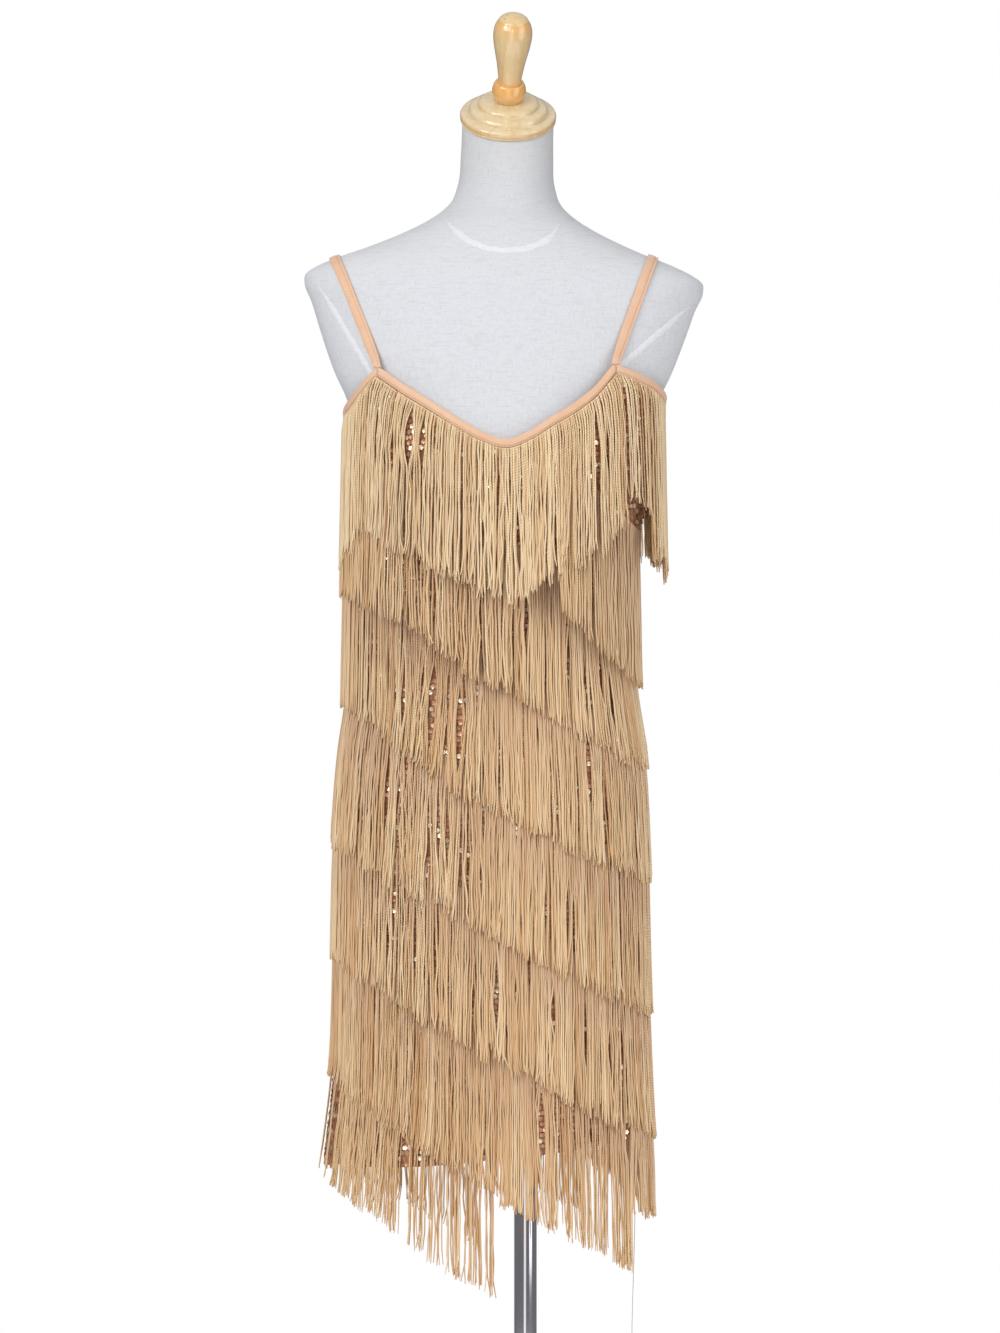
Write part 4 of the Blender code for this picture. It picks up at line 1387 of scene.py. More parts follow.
@dataclass
class Lining:
    """The two panels of sequinned knit that make the tube."""

    tube: DressTube
    thickness: float = 0.0012
    seam_inset: float = 0.0006
    sequin_radius: float = 0.0026
    sequin_pitch: float = 0.0054
    sequin_lift: float = 0.0005
    sequin_sides: int = 5
    across: int = 113
    down: int = 89
    length: float = 0.74
    sewn_up_to: float = 0.80
    clear_of_hem: float = 0.003
    clear_of_top: float = 0.004
    clear_of_seam: float = 0.08
    nod: tuple[float, float] = (0.10, 0.16)
    sway: float = 0.22
    cup_depth: float = 0.00035
    # Each panel's cut: girth by length, and what the neck and armholes leave of it.
    front_cut: tuple[float, float] = (0.462, 0.779)
    front_area: float = 0.313
    back_cut: tuple[float, float] = (0.470, 0.757)
    back_area: float = 0.321

    def build(self) -> tuple[list[Object], list[Object]]:
        """Builds both panels.

        Returns:
            The two shells, and the two layers of sequins, front first.
        """
        rng = np.random.default_rng(21)
        shells, layers = [], []
        for name, node, first, last in (
            ("front_lining", "front_panel", 0, 16), ("back_lining", "back_panel", 16, 32)
        ):
            shells.append(self.shell(name, node, first, last))
            layers.append(self.sequins(name.replace("lining", "sequins"), first, last, rng))
        return shells, layers

    def shell(self, name: str, node: str, first: int, last: int) -> Object:
        """Builds one panel as a thin shell.

        Args:
            name: The piece's name.
            node: The CAD node that it replaces.
            first: The column of its left seam.
            last: The column of its right seam.

        Returns:
            The shell.
        """
        inset = self.seam_inset / COLUMN_PITCH
        u = np.linspace(first + inset, last - inset, self.across)
        share = np.linspace(0, 1, self.down)[:, None]
        height = self.tube.hem(u) * (1 - share) + self.tube.top(u) * share
        outer = self.tube.spot(u[None], height, 0.0)
        inner = self.tube.spot(u[None], height, -self.thickness)
        rows, columns = height.shape
        girth = np.linspace(0, (last - first) * COLUMN_PITCH, columns)
        long = np.linspace(0, self.length, rows)
        faces = net_faces(rows, columns, False)
        draft = MeshDraft()
        draft.add(outer.reshape(-1, 3), faces, net_uvs(long, girth))
        draft.add(inner.reshape(-1, 3), faces[:, ::-1], net_uvs(long, girth)[..., ::-1, :])
        rim = np.concatenate(
            [
                np.arange(columns),
                np.arange(1, rows) * columns + columns - 1,
                (rows - 1) * columns + np.arange(columns - 1)[::-1],
                np.arange(1, rows - 1)[::-1] * columns,
            ]
        )
        after = np.roll(rim, -1)
        offset = rows * columns
        draft.cover(np.stack([after, rim, rim + offset, after + offset], axis=-1))
        made = draft.finish(name, KNIT)
        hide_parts(node)
        return made

    def sequins(self, name: str, first: int, last: int, rng: Generator) -> Object:
        """Sews the sequins of one panel on in staggered rows.

        Args:
            name: The piece's name.
            first: The column of the panel's left seam.
            last: The column of its right seam.
            rng: The source of each sequin's tilt and shade.

        Returns:
            The sequins as one mesh.
        """
        across = int((last - first) * COLUMN_PITCH / self.sequin_pitch)
        u_list, z_list = [], []
        for k in range(int(self.sewn_up_to / self.sequin_pitch)):
            u = first + (np.arange(across) + 0.5 + 0.5 * (k % 2)) / across * (last - first)
            z = self.tube.hem(u) + self.clear_of_hem + k * self.sequin_pitch
            fits = (z < self.tube.top(u) - self.clear_of_top) & (u < last - self.clear_of_seam)
            u_list.append(u[fits])
            z_list.append(z[fits])
        u, z = np.concatenate(u_list), np.concatenate(z_list)
        count = len(u)
        aside = self.tube.spot(u + 0.05, z) - self.tube.spot(u - 0.05, z)
        aside /= np.linalg.norm(aside, axis=1)[:, None]
        outward = np.stack([aside[:, 1], -aside[:, 0], np.zeros(count)], axis=-1)
        upward = np.broadcast_to([0.0, 0.0, 1.0], (count, 3))
        up = upward - outward * rng.normal(*self.nod, count)[:, None]
        side = aside - outward * rng.normal(0.0, self.sway, count)[:, None]
        middle = self.tube.spot(u, z, self.sequin_lift)
        corners = []
        for k in range(self.sequin_sides):
            turn = 2 * math.pi * k / self.sequin_sides
            ring = side * math.cos(turn) + up * math.sin(turn)
            corners.append(middle + ring * self.sequin_radius + outward * self.cup_depth)
        points = np.stack([middle, *corners], axis=1).reshape(-1, 3)
        step = self.sequin_sides + 1
        k = np.arange(self.sequin_sides)
        fan = np.stack([np.zeros_like(k), 1 + k, 1 + (k + 1) % self.sequin_sides], axis=-1)
        draft = MeshDraft()
        draft.add(points, repeated(fan, count, step), shades=np.repeat(rng.uniform(0, 1, count), step))
        made = draft.finish(name, SEQUIN, smooth=False)
        return made


class Band(NamedTuple):
    """A folded band's section: its width, its thickness, and where its stitch line runs across it."""

    width: float
    thickness: float
    stitch_at: float


@dataclass
class Bindings:
    """The bias bindings on the top edge, and the straps of the same stuff."""

    tube: DressTube
    form: DressForm
    band: Band = Band(0.0084, 0.0030, 0.24)
    strap: Band = Band(0.0108, 0.0024, 0.70)
    edge_gap: float = 0.0004
    end_gap: float = 0.0002
    cad_width: float = 0.0078
    strap_lift: float = 0.0008
    strap_upright: float = 0.003
    rest_gap: float = 0.0005
    core: tuple[float, float] = (0.003, 1.262)
    crest_x: dict[Side, float] = field(default_factory=lambda: {Side.LEFT: -0.1715, Side.RIGHT: 0.148})
    crest_z: dict[Side, float] = field(default_factory=lambda: {Side.LEFT: 1.312, Side.RIGHT: 1.309})
    stitch_length: float = 0.0024
    stitch_pitch: float = 0.0032
    stitch_radius: float = 0.00030
    groove: float = 0.62
    sunk: float = 0.0006
    tallest: float = 1.12
    pleated: float = 0.76
    pleat_length: float = 0.030
    first_clearance: float = 0.0016

    def build(self) -> list[Object]:
        """Builds the four bindings, the two straps and their stitching.

        Returns:
            All of these pieces.
        """
        stitches = MeshDraft()
        made = []
        for name, node, first, last in (
            ("neck_edge_front", "neck_binding_front", 3, 13),
            ("armhole_edge_right", "armhole_binding_right", 13, 19),
            ("neck_edge_back", "neck_binding_back", 19, 29),
            ("armhole_edge_left", "armhole_binding_left", 29, 35),
        ):
            made.append(self.binding(name, node, first, last, stitches))
        for side, node, front, back in (
            (Side.LEFT, "strap_left", 3, 29), (Side.RIGHT, "strap_right", 13, 19)
        ):
            made.append(self.build_strap(side, node, front, back, stitches))
        sewing = stitches.finish("binding_stitches", STITCHING)
        made.append(sewing)
        return made

    def section(self, band: Band) -> np.ndarray:
        """The closed outline of a folded band, as shares across and steps out.

        Args:
            band: The band's sizes.

        Returns:
            Rows of (across, out) in metres, with a groove at the stitch line on the outer side.
        """
        half = band.width / 2
        edge = band.thickness / 2
        outline, back = [], []
        for t in np.linspace(0, 1, 15):
            across = -half + band.width * (0.5 - 0.5 * math.cos(math.pi * t))
            rim = min(1.0, math.sqrt(max(0.0, 1 - (abs(across) / half) ** 6)) + 0.15)
            groove = self.groove * math.exp(-(((t - band.stitch_at) / 0.07) ** 2))
            swell = 0.85 + 0.15 * math.cos(2 * math.pi * (t - 0.5))
            outline.append((across, edge * rim * swell * (1 - groove)))
            back.append((across, -edge * rim))
        return np.array([*outline, *reversed(back)])

    def swept(
        self, name: str, middle: np.ndarray, across: np.ndarray, outward: np.ndarray, band: Band
    ) -> Object:
        """Sweeps a folded band along a line.

        Args:
            name: The piece's name.
            middle: The line's points.
            across: The direction over the band's width at each point.
            outward: The direction of its outer face at each point.
            band: The band's sizes.

        Returns:
            The new piece.
        """
        outline = self.section(band)
        count = len(outline)
        points = (
            middle[:, None]
            + across[:, None] * outline[None, :, :1]
            + outward[:, None] * outline[None, :, 1:]
        ).reshape(-1, 3)
        rows = len(middle)
        walked = distance_along(middle)
        girth = np.linspace(0, 2.3 * band.width, count + 1)
        draft = MeshDraft()
        draft.add(points, net_faces(rows, count, True), net_uvs(walked, girth))
        # Each end is closed by quads between the outline's outer half and its inner half.
        k = np.arange(count // 2 - 1)
        end = np.stack([k, k + 1, count - 2 - k, count - 1 - k], axis=-1)
        draft.cover(end[:, ::-1])
        draft.cover(end + (rows - 1) * count)
        made = draft.finish(name, BINDING)
        return made

    def binding(self, name: str, node: str, first: int, last: int, stitches: MeshDraft) -> Object:
        """Builds one length of binding on the top edge.

        Args:
            name: The piece's name.
            node: The CAD node that it replaces.
            first: The column at its start.
            last: The column at its end.
            stitches: The draft that its stitches go into.

        Returns:
            The binding.
        """
        gap = self.end_gap / COLUMN_PITCH
        u = np.linspace(first + gap, last - gap, (last - first) * 12)
        foot = self.tube.top(u) + self.edge_gap
        slope = np.gradient(foot, u * COLUMN_PITCH)
        # The band keeps its width square to the edge, so it stands taller where the edge is steep.
        tall = self.band.width * np.clip(np.sqrt(1 + slope**2), 1.0, self.tallest)
        low = self.tube.spot(u, foot, -self.sunk)
        high = self.tube.spot(u, foot + tall, -self.sunk)
        across = (high - low) / tall[:, None]
        angles = self.tube.angle(u)
        outward = level_way(angles)
        scaled = across * (tall / self.band.width)[:, None]
        made = self.swept(name, (low + high) / 2, scaled, outward, self.band)
        line = low + (high - low) * self.band.stitch_at
        self.add_stitches(stitches, line + outward * (self.band.thickness / 2 * self.groove))
        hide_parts(node)
        return made

    def add_stitches(self, draft: MeshDraft, line: np.ndarray) -> None:
        """Lays a row of short round stitches along a line.

        Args:
            draft: The mesh that they go into.
            line: The line's points.
        """
        walked = distance_along(line)
        starts = np.arange(self.stitch_pitch, walked[-1] - self.stitch_pitch, self.stitch_pitch)
        turns = ring_turns(6)
        for start in starts:
            marks = start + np.array([0.0, 0.15, 0.5, 0.85, 1.0]) * self.stitch_length
            spots = np.stack([np.interp(marks, walked, line[:, k]) for k in range(3)], axis=-1)
            ahead = spots[-1] - spots[0]
            ahead /= np.linalg.norm(ahead)
            aside = np.cross(ahead, [0.0, 0.0, 1.0])
            aside /= max(np.linalg.norm(aside), 1e-9)
            over = np.cross(aside, ahead)
            size = self.stitch_radius * np.array([0.2, 0.9, 1.0, 0.9, 0.2])
            rings = (
                spots[:, None]
                + aside * (np.cos(turns)[None, :, None] * size[:, None, None])
                + over * (np.sin(turns)[None, :, None] * size[:, None, None])
            )
            draft.add(rings.reshape(-1, 3), net_faces(5, 6, True))

    def clearance(self, point: Vector) -> tuple[Vector, float]:
        """The way out of the form from a point, and how far outside it the point lies.

        Args:
            point: The point, outside the form or inside it.

        Returns:
            The direction outward, and the distance, which is negative inside.
        """
        nearest, normal, _, distance = self.form.surface.find_nearest(point)
        outward = point - nearest
        if outward.dot(normal) < 0 or distance < 1e-6:
            return normal, -distance
        return outward.normalized(), distance

    def laid(self, point: Vector, stand_off: float) -> Vector:
        """The point moved out of the form, if it must be, away from the shoulder's core.

        Args:
            point: Where the strap would pass.
            stand_off: How far outside the form it must be.

        Returns:
            The point where it lies clear.
        """
        core = Vector((point.x, self.core[0], self.core[1]))
        ray = point - core
        reach = ray.length
        ray.normalize()
        while self.clearance(core + ray * reach)[1] < stand_off:
            reach += 0.0004
        return core + ray * reach

    def half_route(self, foot: Vector, summit: Vector, stand_off: float) -> list[Vector]:
        """The strap's line from one foot to the summit, straight when seen from the front.

        Args:
            foot: Where it leaves the binding.
            summit: Where it crosses the shoulder.
            stand_off: How far outside the form it must be.

        Returns:
            The line's points, without the summit.
        """
        route = [foot]
        for i in range(1, 60):
            placed = foot.lerp(summit, i / 60)
            for _ in range(3):
                placed = self.laid(placed, stand_off)
                rise = min((placed.z - foot.z) / (summit.z - foot.z), 1.0)
                placed.x = foot.x + (summit.x - foot.x) * rise
            route.append(self.laid(placed, stand_off))
        return route

    def facings(self, route: Sequence[Vector]) -> list[Vector]:
        """The direction that the strap's face looks in, evened out along it.

        Args:
            route: The strap's line.

        Returns:
            One direction for each point of the line.
        """
        raw = [self.clearance(p)[0] for p in route]
        return [sum(raw[max(i - 4, 0) : i + 5], Vector()).normalized() for i in range(len(raw))]

    def settled(self, route: list[Vector]) -> list[Vector]:
        """The route drawn in or pushed out until the strap's whole width just clears the form.

        Args:
            route: The strap's line.

        Returns:
            The settled line.
        """
        wanted = self.strap.thickness / 2 + self.rest_gap
        last = len(route) - 1
        for _ in range(8):
            outward = self.facings(route)
            moved = list(route)
            for i in range(4, last - 3):
                ahead = (route[i + 1] - route[i - 1]).normalized()
                across = ahead.cross(outward[i]).normalized() * (self.strap.width / 2)
                gaps = [self.clearance(route[i] + across * k)[1] for k in (-1, -0.5, 0, 0.5, 1)]
                lack = wanted - min(gaps)
                if lack > 0 or 10 <= i <= last - 10:
                    moved[i] = route[i] + outward[i] * (0.6 * lack)
            route = evened(moved, 1)
        return route

    def build_strap(self, side: Side, node: str, front: int, back: int, stitches: MeshDraft) -> Object:
        """Builds one strap, pulled over the shoulder from the front peak to the back peak.

        Args:
            side: Which shoulder it lies over.
            node: The CAD node that it replaces.
            front: The column of its front foot.
            back: The column of its back foot.
            stitches: The draft that its stitches go into.

        Returns:
            The strap.
        """
        lift = self.cad_width + self.strap_lift
        feet = [
            Vector(self.tube.spot(float(u), float(self.tube.top(u)) + lift, 0.0)) for u in (front, back)
        ]
        upright = Vector((0.0, 0.0, self.strap_upright))
        stand_off = self.strap.thickness / 2 + self.first_clearance
        crest = Vector((FORM_X + self.crest_x[side], 0.0, self.crest_z[side]))
        summit = self.laid(crest, stand_off)
        halves = [self.half_route(foot + upright, summit, stand_off) for foot in feet]
        route = even_steps([feet[0], *halves[0], summit, *reversed(halves[1]), feet[1]], 90)
        route = even_steps(self.settled(route), 140)
        outward = self.facings(route)
        last = len(route) - 1
        across = []
        for i in range(len(route)):
            ahead = (route[min(i + 1, last)] - route[max(i - 1, 0)]).normalized()
            step = ahead.cross(outward[i])
            if i < 3 or i > last - 3:
                step.z = 0.0
            across.append(tuple(step.normalized()))
        middle = np.array([tuple(p) for p in route])
        out_rows = np.array([tuple(v) for v in outward])
        # The strap narrows to its front foot, where it is pleated into the binding.
        length = sum((b - a).length for a, b in zip(route, route[1:]))
        from_foot = np.linspace(0, 1, len(route)) * length
        opening = np.clip(from_foot / self.pleat_length, 0, 1)
        narrowed = self.pleated + (1 - self.pleated) * opening
        across_rows = np.array(across) * narrowed[:, None]
        made = self.swept(f"{side.name.lower()}_strap_band", middle, across_rows, out_rows, self.strap)
        share = (self.strap.stitch_at - 0.5) * self.strap.width
        line = middle + across_rows * share + out_rows * (self.strap.thickness / 2 * self.groove)
        self.add_stitches(stitches, line)
        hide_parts(node)
        return made


@dataclass(frozen=True)
class ThreadLay:
    """How the threads of one length of fringe hang: spacing, layers, evenness and gathering."""

    stand_off: float
    spread: float
    rings: tuple[int, ...] = (10, 12, 15)
    pitch: float = 0.0031
    layer_step: float = 0.0008
    radius: float = 0.00088
    # Painted light and shade: a shift of the threads' tone, negative for lighter.
    painted_shade_shift: float = 0.0
    ragged: float = 0.0030
    gather: tuple[float, float] = (0.0, 0.16)
    lock: tuple[float, float] = (0.006, 0.024)
    sway: float = 0.0022
    wave: float = 0.0008
    wave_length: tuple[float, float] = (0.040, 0.10)
    kink: float = 0.0003
    curl: float = 0.0018
    curl_from: float = 0.86
    short_share: float = 0.03
    short_by: tuple[float, float] = (0.004, 0.022)


@dataclass(frozen=True)
class Fan:
    """Where threads lean to one side: its column, its width, its reach and how fast it opens."""

    column: float
    width: float
    reach: float
    opens: float


@dataclass(frozen=True)
class Stretch:
    """A stretch of columns, with the share of its threads that is left and how much they are cut."""

    middle: float
    half_width: float
    keep: float = 1.0
    cut: float = 0.0


class Gap(NamedTuple):
    """A small lens-shaped gap between threads: its column, width, reach, start and length."""

    column: float
    width: float
    reach: float
    start: float
    length: float


@dataclass
class FringeLength:
    """One length of fringe: a tape with threads looped through it, hanging plumb."""

    tube: DressTube
    name: str
    node: str
    edge: Callable[[Any], np.ndarray]
    first: float
    last: float
    lay: ThreadLay
    seed: int
    fans: tuple[Fan, ...] = ()
    stretches: tuple[Stretch, ...] = ()
    partings: tuple[Gap, ...] = ()
    finish: TwistedRayon = RAYON
    header: bool = False
    gap_every: float = 0.045
    drop: float = 0.150
    tape_width: float = 0.008
    sides: int = 4
    loop_radius: float = 0.00055
    loop_sag: float = 0.0005
    loop_lift: float = 0.0014
    gaps: list[Gap] = field(default_factory=list)

    def build(self) -> Object:
        """Builds the tape and all its threads as one mesh.

        Returns:
            The new piece.
        """
        rng = np.random.default_rng(self.seed)
        draft = MeshDraft()
        self.add_tape(draft)
        span = (self.last - self.first) * COLUMN_PITCH
        widths = rng.uniform(*self.lay.lock, int(span / self.lay.lock[0]) + 2)
        bounds = self.first + np.concatenate([[0], np.cumsum(widths)]) / COLUMN_PITCH
        locks = {
            "gather": rng.uniform(*self.lay.gather, len(widths)),
            "sway": rng.normal(0.0, self.lay.sway, len(widths)),
            "longer": rng.normal(0.0, self.lay.ragged, len(widths)),
            "shade": rng.uniform(0.0, 0.35, len(widths)),
        }
        small_gaps = [
            Gap(
                column=rng.uniform(self.first, self.last),
                width=rng.uniform(0.10, 0.22),
                reach=rng.uniform(0.0014, 0.0030),
                start=rng.uniform(0.010, 0.080),
                length=rng.uniform(0.030, 0.090),
            )
            for _ in range(int(span / self.gap_every))
        ]
        self.gaps = [*self.partings, *small_gaps]
        for layer in range(len(self.lay.rings)):
            self.add_layer(draft, rng, layer, bounds, locks)
        if self.header:
            self.add_header(draft)
        made = draft.finish(self.name, self.finish, uv_name="thread")
        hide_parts(self.node)
        return made

    def add_tape(self, draft: MeshDraft) -> None:
        """Adds the narrow woven tape that the threads hang from.

        Args:
            draft: The mesh that it goes into.
        """
        u = np.linspace(self.first, self.last, int((self.last - self.first) * 8) + 1)
        top = self.edge(u)
        levels = np.array([0.0, 0.5, 1.0])[:, None] * self.tape_width
        height = top[None] - levels
        out = np.array([0.0001, 0.0004, 0.0001])[:, None]
        points = self.tube.spot(np.broadcast_to(u, height.shape), height, out)
        draft.add(
            points.reshape(-1, 3),
            net_faces(3, len(u), False)[:, ::-1],
            net_uvs(levels[:, 0], np.zeros(len(u)))[..., ::-1, :],
            0.5,
        )

    def add_layer(
        self,
        draft: MeshDraft,
        rng: Generator,
        layer: int,
        bounds: np.ndarray,
        locks: dict[str, np.ndarray],
    ) -> None:
        """Adds one layer of threads.

        Args:
            draft: The mesh that they go into.
            rng: The source of their unevenness.
            layer: Which layer, counted from the cloth.
            bounds: The columns between which the threads gather into locks.
            locks: How each lock gathers, sways, how much longer it is, and its shade.
        """
        lay = self.lay
        pitch = lay.pitch * (1.2 if layer == 0 else 1.0)
        places = int((self.last - self.first) * COLUMN_PITCH / pitch)
        evenly = (np.arange(places) + 0.5 + rng.uniform(-0.3, 0.3, places)) / places
        u = self.first + evenly * (self.last - self.first)
        u = u[rng.random(places) < self.kept(u)]
        count = len(u)
        lock = np.clip(np.searchsorted(bounds, u) - 1, 0, len(bounds) - 2)
        middle = (bounds[lock] + bounds[lock + 1]) / 2
        long = self.drop + locks["longer"][lock] + rng.normal(0.0, lay.ragged * 0.7, count)
        short = rng.random(count) < lay.short_share
        long -= np.where(short, rng.uniform(*lay.short_by, count), 0.0)
        for stretch in self.stretches:
            long -= np.where(self.within(u, stretch), stretch.cut, 0.0)
        rows = lay.rings[layer]
        t = np.linspace(0, 1, rows)[None]
        down = long[:, None] * t
        height = self.edge(u)[:, None] + 0.0006 - down
        pulled = -(u - middle)[:, None] * COLUMN_PITCH * locks["gather"][lock][:, None]
        aside = pulled * np.clip(t / 0.75, 0, 1) ** 1.2 + locks["sway"][lock][:, None] * t**2
        wave = rng.uniform(*lay.wave_length, count)[:, None]
        size = rng.normal(0.0, lay.wave, count)[:, None]
        phase = rng.uniform(0, 2 * math.pi, count)[:, None]
        aside = aside + size * np.sin(2 * math.pi * down / wave + phase) * np.clip(t * 4, 0, 1)
        curl = np.clip((t - lay.curl_from) / (1 - lay.curl_from), 0, 1) ** 2
        aside = aside + rng.normal(0.0, lay.curl, count)[:, None] * curl
        aside = aside + rng.normal(0.0, lay.kink, (count, rows)) * np.clip(t * 8, 0, 1)
        aside = aside + self.parted(u[:, None], down)
        across = u[:, None] + aside / COLUMN_PITCH
        base = self.tube.reach(across, height)
        # The first stretch is sewn down on the tape; below that each thread hangs plumb.
        sewn = down < self.tape_width
        reach = np.where(sewn, base, np.maximum.accumulate(np.where(sewn, 0.0, base), axis=1))
        eased = np.clip(down / 0.010, 0, 1) ** 0.7
        depth = 0.0006 + (layer * lay.layer_step + lay.stand_off) * eased + lay.spread * down
        depth = depth + rng.uniform(0, 0.0006, count)[:, None] + 0.0010 * curl * rng.random(count)[:, None]
        reach = reach + depth
        angles = self.tube.angle(across)
        spots = self.tube.placed(angles, reach, height)
        outward = level_way(angles)
        sideways = np.stack([-np.sin(angles), np.cos(angles), np.zeros_like(angles)], axis=-1)
        tip = 1 - 0.35 * np.clip((t - 0.93) / 0.07, 0, 1)
        thick = lay.radius * rng.uniform(0.86, 1.12, count)[:, None] * tip
        turns = ring_turns(self.sides)
        rings = spots[:, :, None] + thick[:, :, None, None] * (
            outward[:, :, None] * np.cos(turns)[:, None] + sideways[:, :, None] * np.sin(turns)[:, None]
        )
        per = rows * self.sides
        faces = repeated(net_faces(rows, self.sides, True)[:, ::-1], count, per)
        uv_rows = np.stack(
            [net_uvs(down[i], np.linspace(0, 1, self.sides + 1))[..., ::-1, :] for i in range(count)]
        )
        # Painted shade: the layers nearer the cloth, which show in the gaps, are painted darker.
        under = 0.20 * (len(lay.rings) - 1 - layer)
        own = np.clip(rng.uniform(0, 0.65, count) + locks["shade"][lock] + under + lay.painted_shade_shift, 0, 1)
        draft.add(rings.reshape(-1, 3), faces, uv_rows, np.repeat(own, per))

    def off(self, u: np.ndarray, column: float) -> np.ndarray:
        """How many columns each place lies from a column, the short way round."""
        return np.mod(u - column + COLUMNS / 2, COLUMNS) - COLUMNS / 2

    def within(self, u: np.ndarray, stretch: Stretch) -> np.ndarray:
        """Whether each column lies in a stretch."""
        return np.abs(self.off(u, stretch.middle)) < stretch.half_width

    def kept(self, u: np.ndarray) -> np.ndarray:
        """The share of the threads that is left.

        Args:
            u: The threads' columns.

        Returns:
            The share at each of them.
        """
        share = np.ones_like(u)
        for stretch in self.stretches:
            share = np.where(self.within(u, stretch), stretch.keep, share)
        return share

    def parted(self, u: np.ndarray, down: np.ndarray) -> np.ndarray:
        """How far the fans and the gaps push each thread to the side.

        Args:
            u: The threads' columns.
            down: How far below its root each of their rings is.

        Returns:
            The steps aside in metres, positive to the right on the front.
        """
        total = np.zeros(np.broadcast_shapes(u.shape, down.shape))
        for fan in self.fans:
            strength = np.exp(-((self.off(u, fan.column) / fan.width) ** 2))
            total = total + fan.reach * strength * (1 - np.exp(-down / fan.opens))
        for gap in self.gaps:
            off = self.off(u, gap.column) / gap.width
            lens = np.sin(math.pi * np.clip((down - gap.start) / gap.length, 0, 1))
            total = total + gap.reach * np.sign(off) * np.exp(-(off**2)) * lens
        return total

    def add_header(self, draft: MeshDraft) -> None:
        """Adds the small loops by which the threads hang from the tape, just under the binding.

        Args:
            draft: The mesh that they go into.
        """
        loops = int((self.last - self.first) * COLUMN_PITCH / self.lay.pitch)
        u = self.first + np.arange(loops) / loops * (self.last - self.first)
        turns = ring_turns(6)
        share = np.linspace(-0.5, 0.5, 4)
        across = u[:, None] + 0.9 * self.lay.pitch / COLUMN_PITCH * share[None]
        level = self.edge(u)[:, None] + 0.0001 - self.loop_sag * (1 - (2 * share) ** 2)[None]
        thick = self.loop_radius * np.array([0.6, 1.0, 1.0, 0.6])[None, :, None]
        rings = self.tube.spot(
            np.broadcast_to(across[..., None], (loops, 4, 6)),
            level[..., None] + thick * np.sin(turns),
            np.broadcast_to(self.loop_lift + thick * np.cos(turns), (loops, 4, 6)),
        )
        draft.add(rings.reshape(-1, 3), repeated(net_faces(4, 6, True), loops, 24), shades=0.25)


